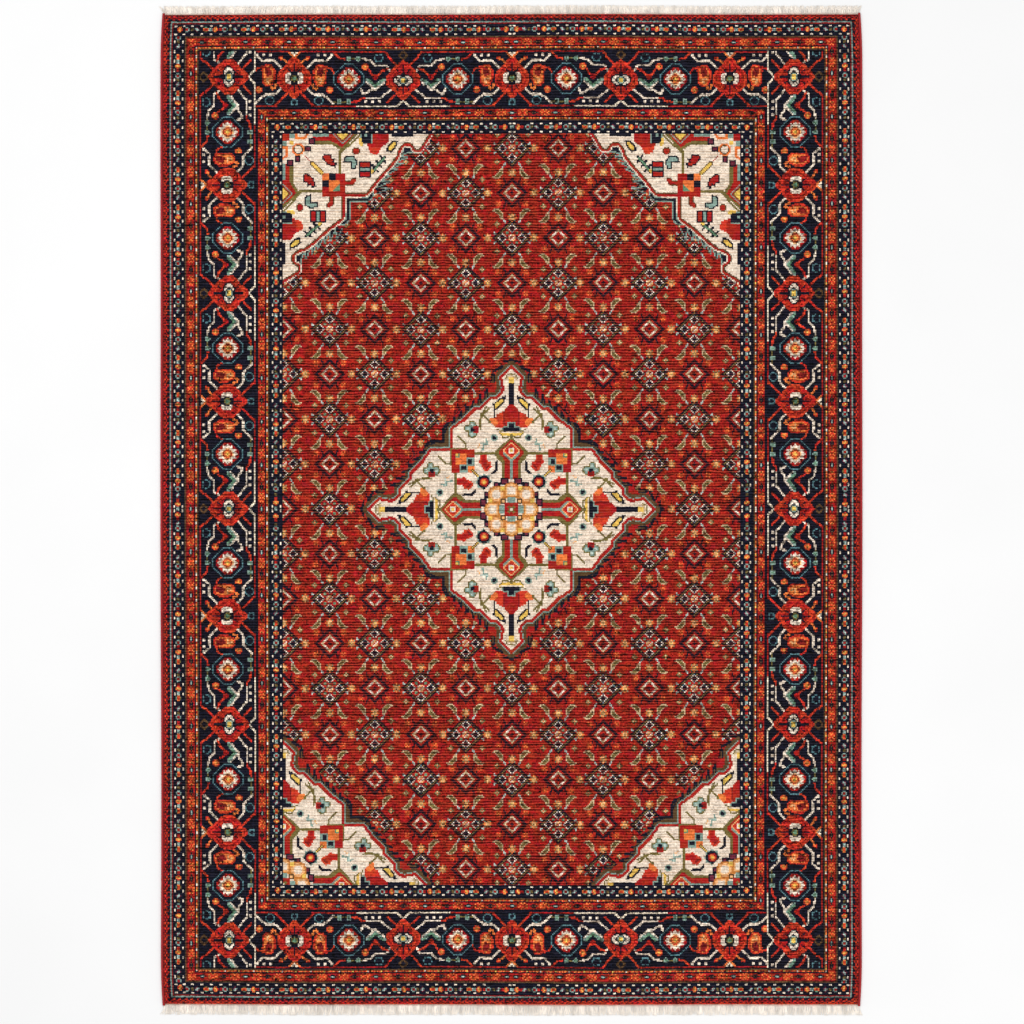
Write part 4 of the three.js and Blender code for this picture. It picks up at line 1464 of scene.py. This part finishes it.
class RUG_OT_make_fringes(bpy.types.Operator):
    """Makes the cotton fringe at each end, in bundles of yarns that lie loose on the floor"""

    bl_idname = "rug.make_fringes"
    bl_label = "Make the fringes"

    # How far the yarns start inside the web and the fringe goes past the pile, and how the corners splay.
    HIDDEN = 0.002
    PAST_PILE = 0.003
    SPLAYED = 0.03
    SPLAY = 0.009

    def execute(self, context):
        sizes = context.scene.rug_sizes
        material = make_yarn_material("fringe cotton", context.scene.rug_colours.fringe, twist=1.6)
        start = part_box("back_end_web")[1].y - self.HIDDEN
        half_width = PILE_HALF_WIDTH + self.PAST_PILE
        count = int(2 * half_width / sizes.bundle_pitch)
        for name, (end, seed, stretch) in FRINGES.items():
            draw = np.random.default_rng(seed)
            tubes = Tubes()
            for bundle in range(count):
                middle = -half_width + (bundle + 0.5) * 2 * half_width / count
                lean = 0.0035 * np.sin(middle * 23 + seed) + 0.0016 * draw.standard_normal()
                near_corner = max(0, (abs(middle) - half_width + self.SPLAYED) / self.SPLAYED)
                lean += self.SPLAY * np.sign(middle) * near_corner ** 1.5
                length = (FRINGE_END - start) * stretch * draw.uniform(0.93, 1.03)
                radius = sizes.fringe_yarn / 2
                for yarn in range(YARNS_IN_BUNDLE):
                    self.add_yarn(tubes, draw, radius, yarn, middle, lean, start, length, end)
            piece = new_mesh_object(name, tubes.vertices, tubes.faces)
            finish_piece(piece, material, "cotton", "warp_yarns")
        return {"FINISHED"}

    def add_yarn(self, tubes, draw, radius, yarn, middle, lean, start, length, end):
        """Adds one yarn, which leaves the web in its bundle and spreads towards its tip."""
        share = np.linspace(0, 1, len(FRINGE_TAPER))
        place = yarn - (YARNS_IN_BUNDLE - 1) / 2
        beside = place * radius * 1.5
        fan = place * 0.0011 * draw.uniform(0.4, 1.6)
        curl = 0.0009 * draw.standard_normal()
        x = middle + beside + lean * share ** 1.4 + fan * share ** 2 + curl * np.sin(share * np.pi * 1.5)
        y = end * (start + length * draw.uniform(0.94, 1.0) * share)
        height = radius + (0.0011 + 0.0009 * (yarn % 2)) * (1 - share) ** 0.8 + 0.0006 * abs(curl) / 0.0009
        path = settled(np.stack([x, y, height], axis=1))
        tubes.add(path, radius * np.array(FRINGE_TAPER), sides=5)


class RUG_OT_make_sides(bpy.types.Operator):
    """Makes the cord along each side and the wool that is wound round it"""

    bl_idname = "rug.make_sides"
    bl_label = "Make the bound sides"

    def execute(self, context):
        pitch = context.scene.rug_sizes.wrap_pitch
        wool = make_yarn_material("binding wool", context.scene.rug_colours.binding, wrap_pitch=pitch)
        cotton = make_yarn_material("cord cotton", context.scene.rug_colours.fringe)
        for side in ("left", "right"):
            cord_low, cord_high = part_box(side + "_side_cord")
            middle = (cord_low + cord_high) / 2
            radius = (cord_high.x - cord_low.x) / 2
            y = np.linspace(cord_low.y, cord_high.y, 700)
            tubes = Tubes()
            self.add_wound(tubes, middle, y, radius * 0.9, 6, 0.008, 0.08)
            finish_piece(new_mesh_object(side + "_cord", tubes.vertices, tubes.faces), cotton, "cotton",
                         side + "_side_cord")
            low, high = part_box(side + "_side_binding")
            y = np.arange(low.y, high.y, pitch / 4)
            tubes = Tubes()
            self.add_wound(tubes, (low + high) / 2, y, (high.x - low.x) / 2, 12, pitch, 0.13)
            finish_piece(new_mesh_object(side + "_binding", tubes.vertices, tubes.faces), wool, "edge_wool",
                         side + "_side_binding")
        return {"FINISHED"}

    def add_wound(self, tubes, middle, y, radius, sides, pitch, depth):
        """Adds a cord whose surface is ridged by the turns that are wound round it."""
        path = settled(np.stack([np.full_like(y, middle.x), y, np.full_like(y, middle.z)], axis=1))
        turn = y[:, None] / pitch + np.arange(sides)[None, :] / sides
        ridge = abs(np.sin(np.pi * turn)) ** 0.7
        tubes.add(path, radius * (1 - depth + depth * ridge), sides)


class RUG_OT_declare_cloth(bpy.types.Operator):
    bl_idname = "rug.declare_cloth"
    bl_label = "Declare the cloth"

    def execute(self, context):
        return {"FINISHED"}


class RUG_OT_set_stage(bpy.types.Operator):
    """Sets up the pale floor, the soft light and the camera straight above the rug"""

    bl_idname = "rug.set_stage"
    bl_label = "Set the stage"

    def execute(self, context):
        scene = context.scene
        deselect_all()
        bpy.ops.mesh.primitive_plane_add(size=FLOOR_SIZE, location=(0, 0, 0))
        floor = context.object
        floor.name = floor.data.name = "floor"
        material, tree, shader, place = new_material("floor paint", 0.85, 0.0)
        shade = tree.spread(tree.noise(place, 3), 0.3, 0.7, 0.99, 1.01)
        colour = (*scene.rug_colours.floor, 1)
        paint = tree.add("ShaderNodeHueSaturation", ("Color", colour), ("Value", shade))
        tree.feed(shader.inputs["Base Color"], paint.outputs[0])
        floor.data.materials.append(material)
        for name, (place, size, power) in SOFTBOXES.items():
            self.add_light(name, place, size, power)
        world = bpy.data.worlds.new("studio")
        world.use_nodes = True
        background = world.node_tree.nodes["Background"]
        background.inputs["Color"].default_value = (1, 1, 1, 1)
        background.inputs["Strength"].default_value = DAYLIGHT
        scene.world = world
        scene.view_settings.view_transform = "Standard"
        camera = bpy.data.objects.new("camera", bpy.data.cameras.new("camera"))
        scene.collection.objects.link(camera)
        camera.location = CAMERA_PLACE
        camera.data.sensor_width = SENSOR_WIDTH
        camera.data.lens = SENSOR_WIDTH * (CAMERA_PLACE[2] - PILE_HIGH) / WIDTH_IN_VIEW
        camera.data.clip_end = CAMERA_REACH
        scene.camera = camera
        return {"FINISHED"}

    def add_light(self, name, place, size, power):
        """Adds a square area light that faces the middle of the rug."""
        lamp = bpy.data.lights.new(name, "AREA")
        lamp.size = size
        lamp.energy = power
        light = bpy.data.objects.new(name, lamp)
        light.location = place
        light.rotation_euler = (-Vector(place)).to_track_quat("-Z", "Y").to_euler()
        bpy.context.scene.collection.objects.link(light)


class RUG_PT_panel(bpy.types.Panel):
    """Lists the rug's parts, sizes and colours"""

    bl_idname = "RUG_PT_panel"
    bl_label = "Knotted area rug"
    bl_space_type = "VIEW_3D"
    bl_region_type = "UI"
    bl_category = "Rug"

    def draw(self, context):
        column = self.layout.column()
        for operator in OPERATORS:
            column.operator(operator.bl_idname)
        for group in (context.scene.rug_sizes, context.scene.rug_colours):
            box = self.layout.box()
            for name in group.__annotations__:
                box.prop(group, name)


OPERATORS = (
    RUG_OT_make_pile,
    RUG_OT_make_ground_weave,
    RUG_OT_make_end_webs,
    RUG_OT_make_fringes,
    RUG_OT_make_sides,
    RUG_OT_declare_cloth,
    RUG_OT_set_stage,
)
CLASSES = (RugSizes, RugColours, *OPERATORS, RUG_PT_panel)


def register():
    for kind in CLASSES:
        bpy.utils.register_class(kind)
    bpy.types.Scene.rug_sizes = bpy.props.PointerProperty(type=RugSizes)
    bpy.types.Scene.rug_colours = bpy.props.PointerProperty(type=RugColours)


def unregister():
    del bpy.types.Scene.rug_colours
    del bpy.types.Scene.rug_sizes
    for kind in reversed(CLASSES):
        bpy.utils.unregister_class(kind)


def main():
    """Builds the rug and its stage."""
    register()
    bpy.ops.rug.make_pile()
    bpy.ops.rug.make_ground_weave()
    bpy.ops.rug.make_end_webs()
    bpy.ops.rug.make_fringes()
    bpy.ops.rug.make_sides()
    bpy.ops.rug.set_stage()
    bpy.ops.rug.declare_cloth()
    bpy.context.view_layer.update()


if __name__ == "__main__":
    main()
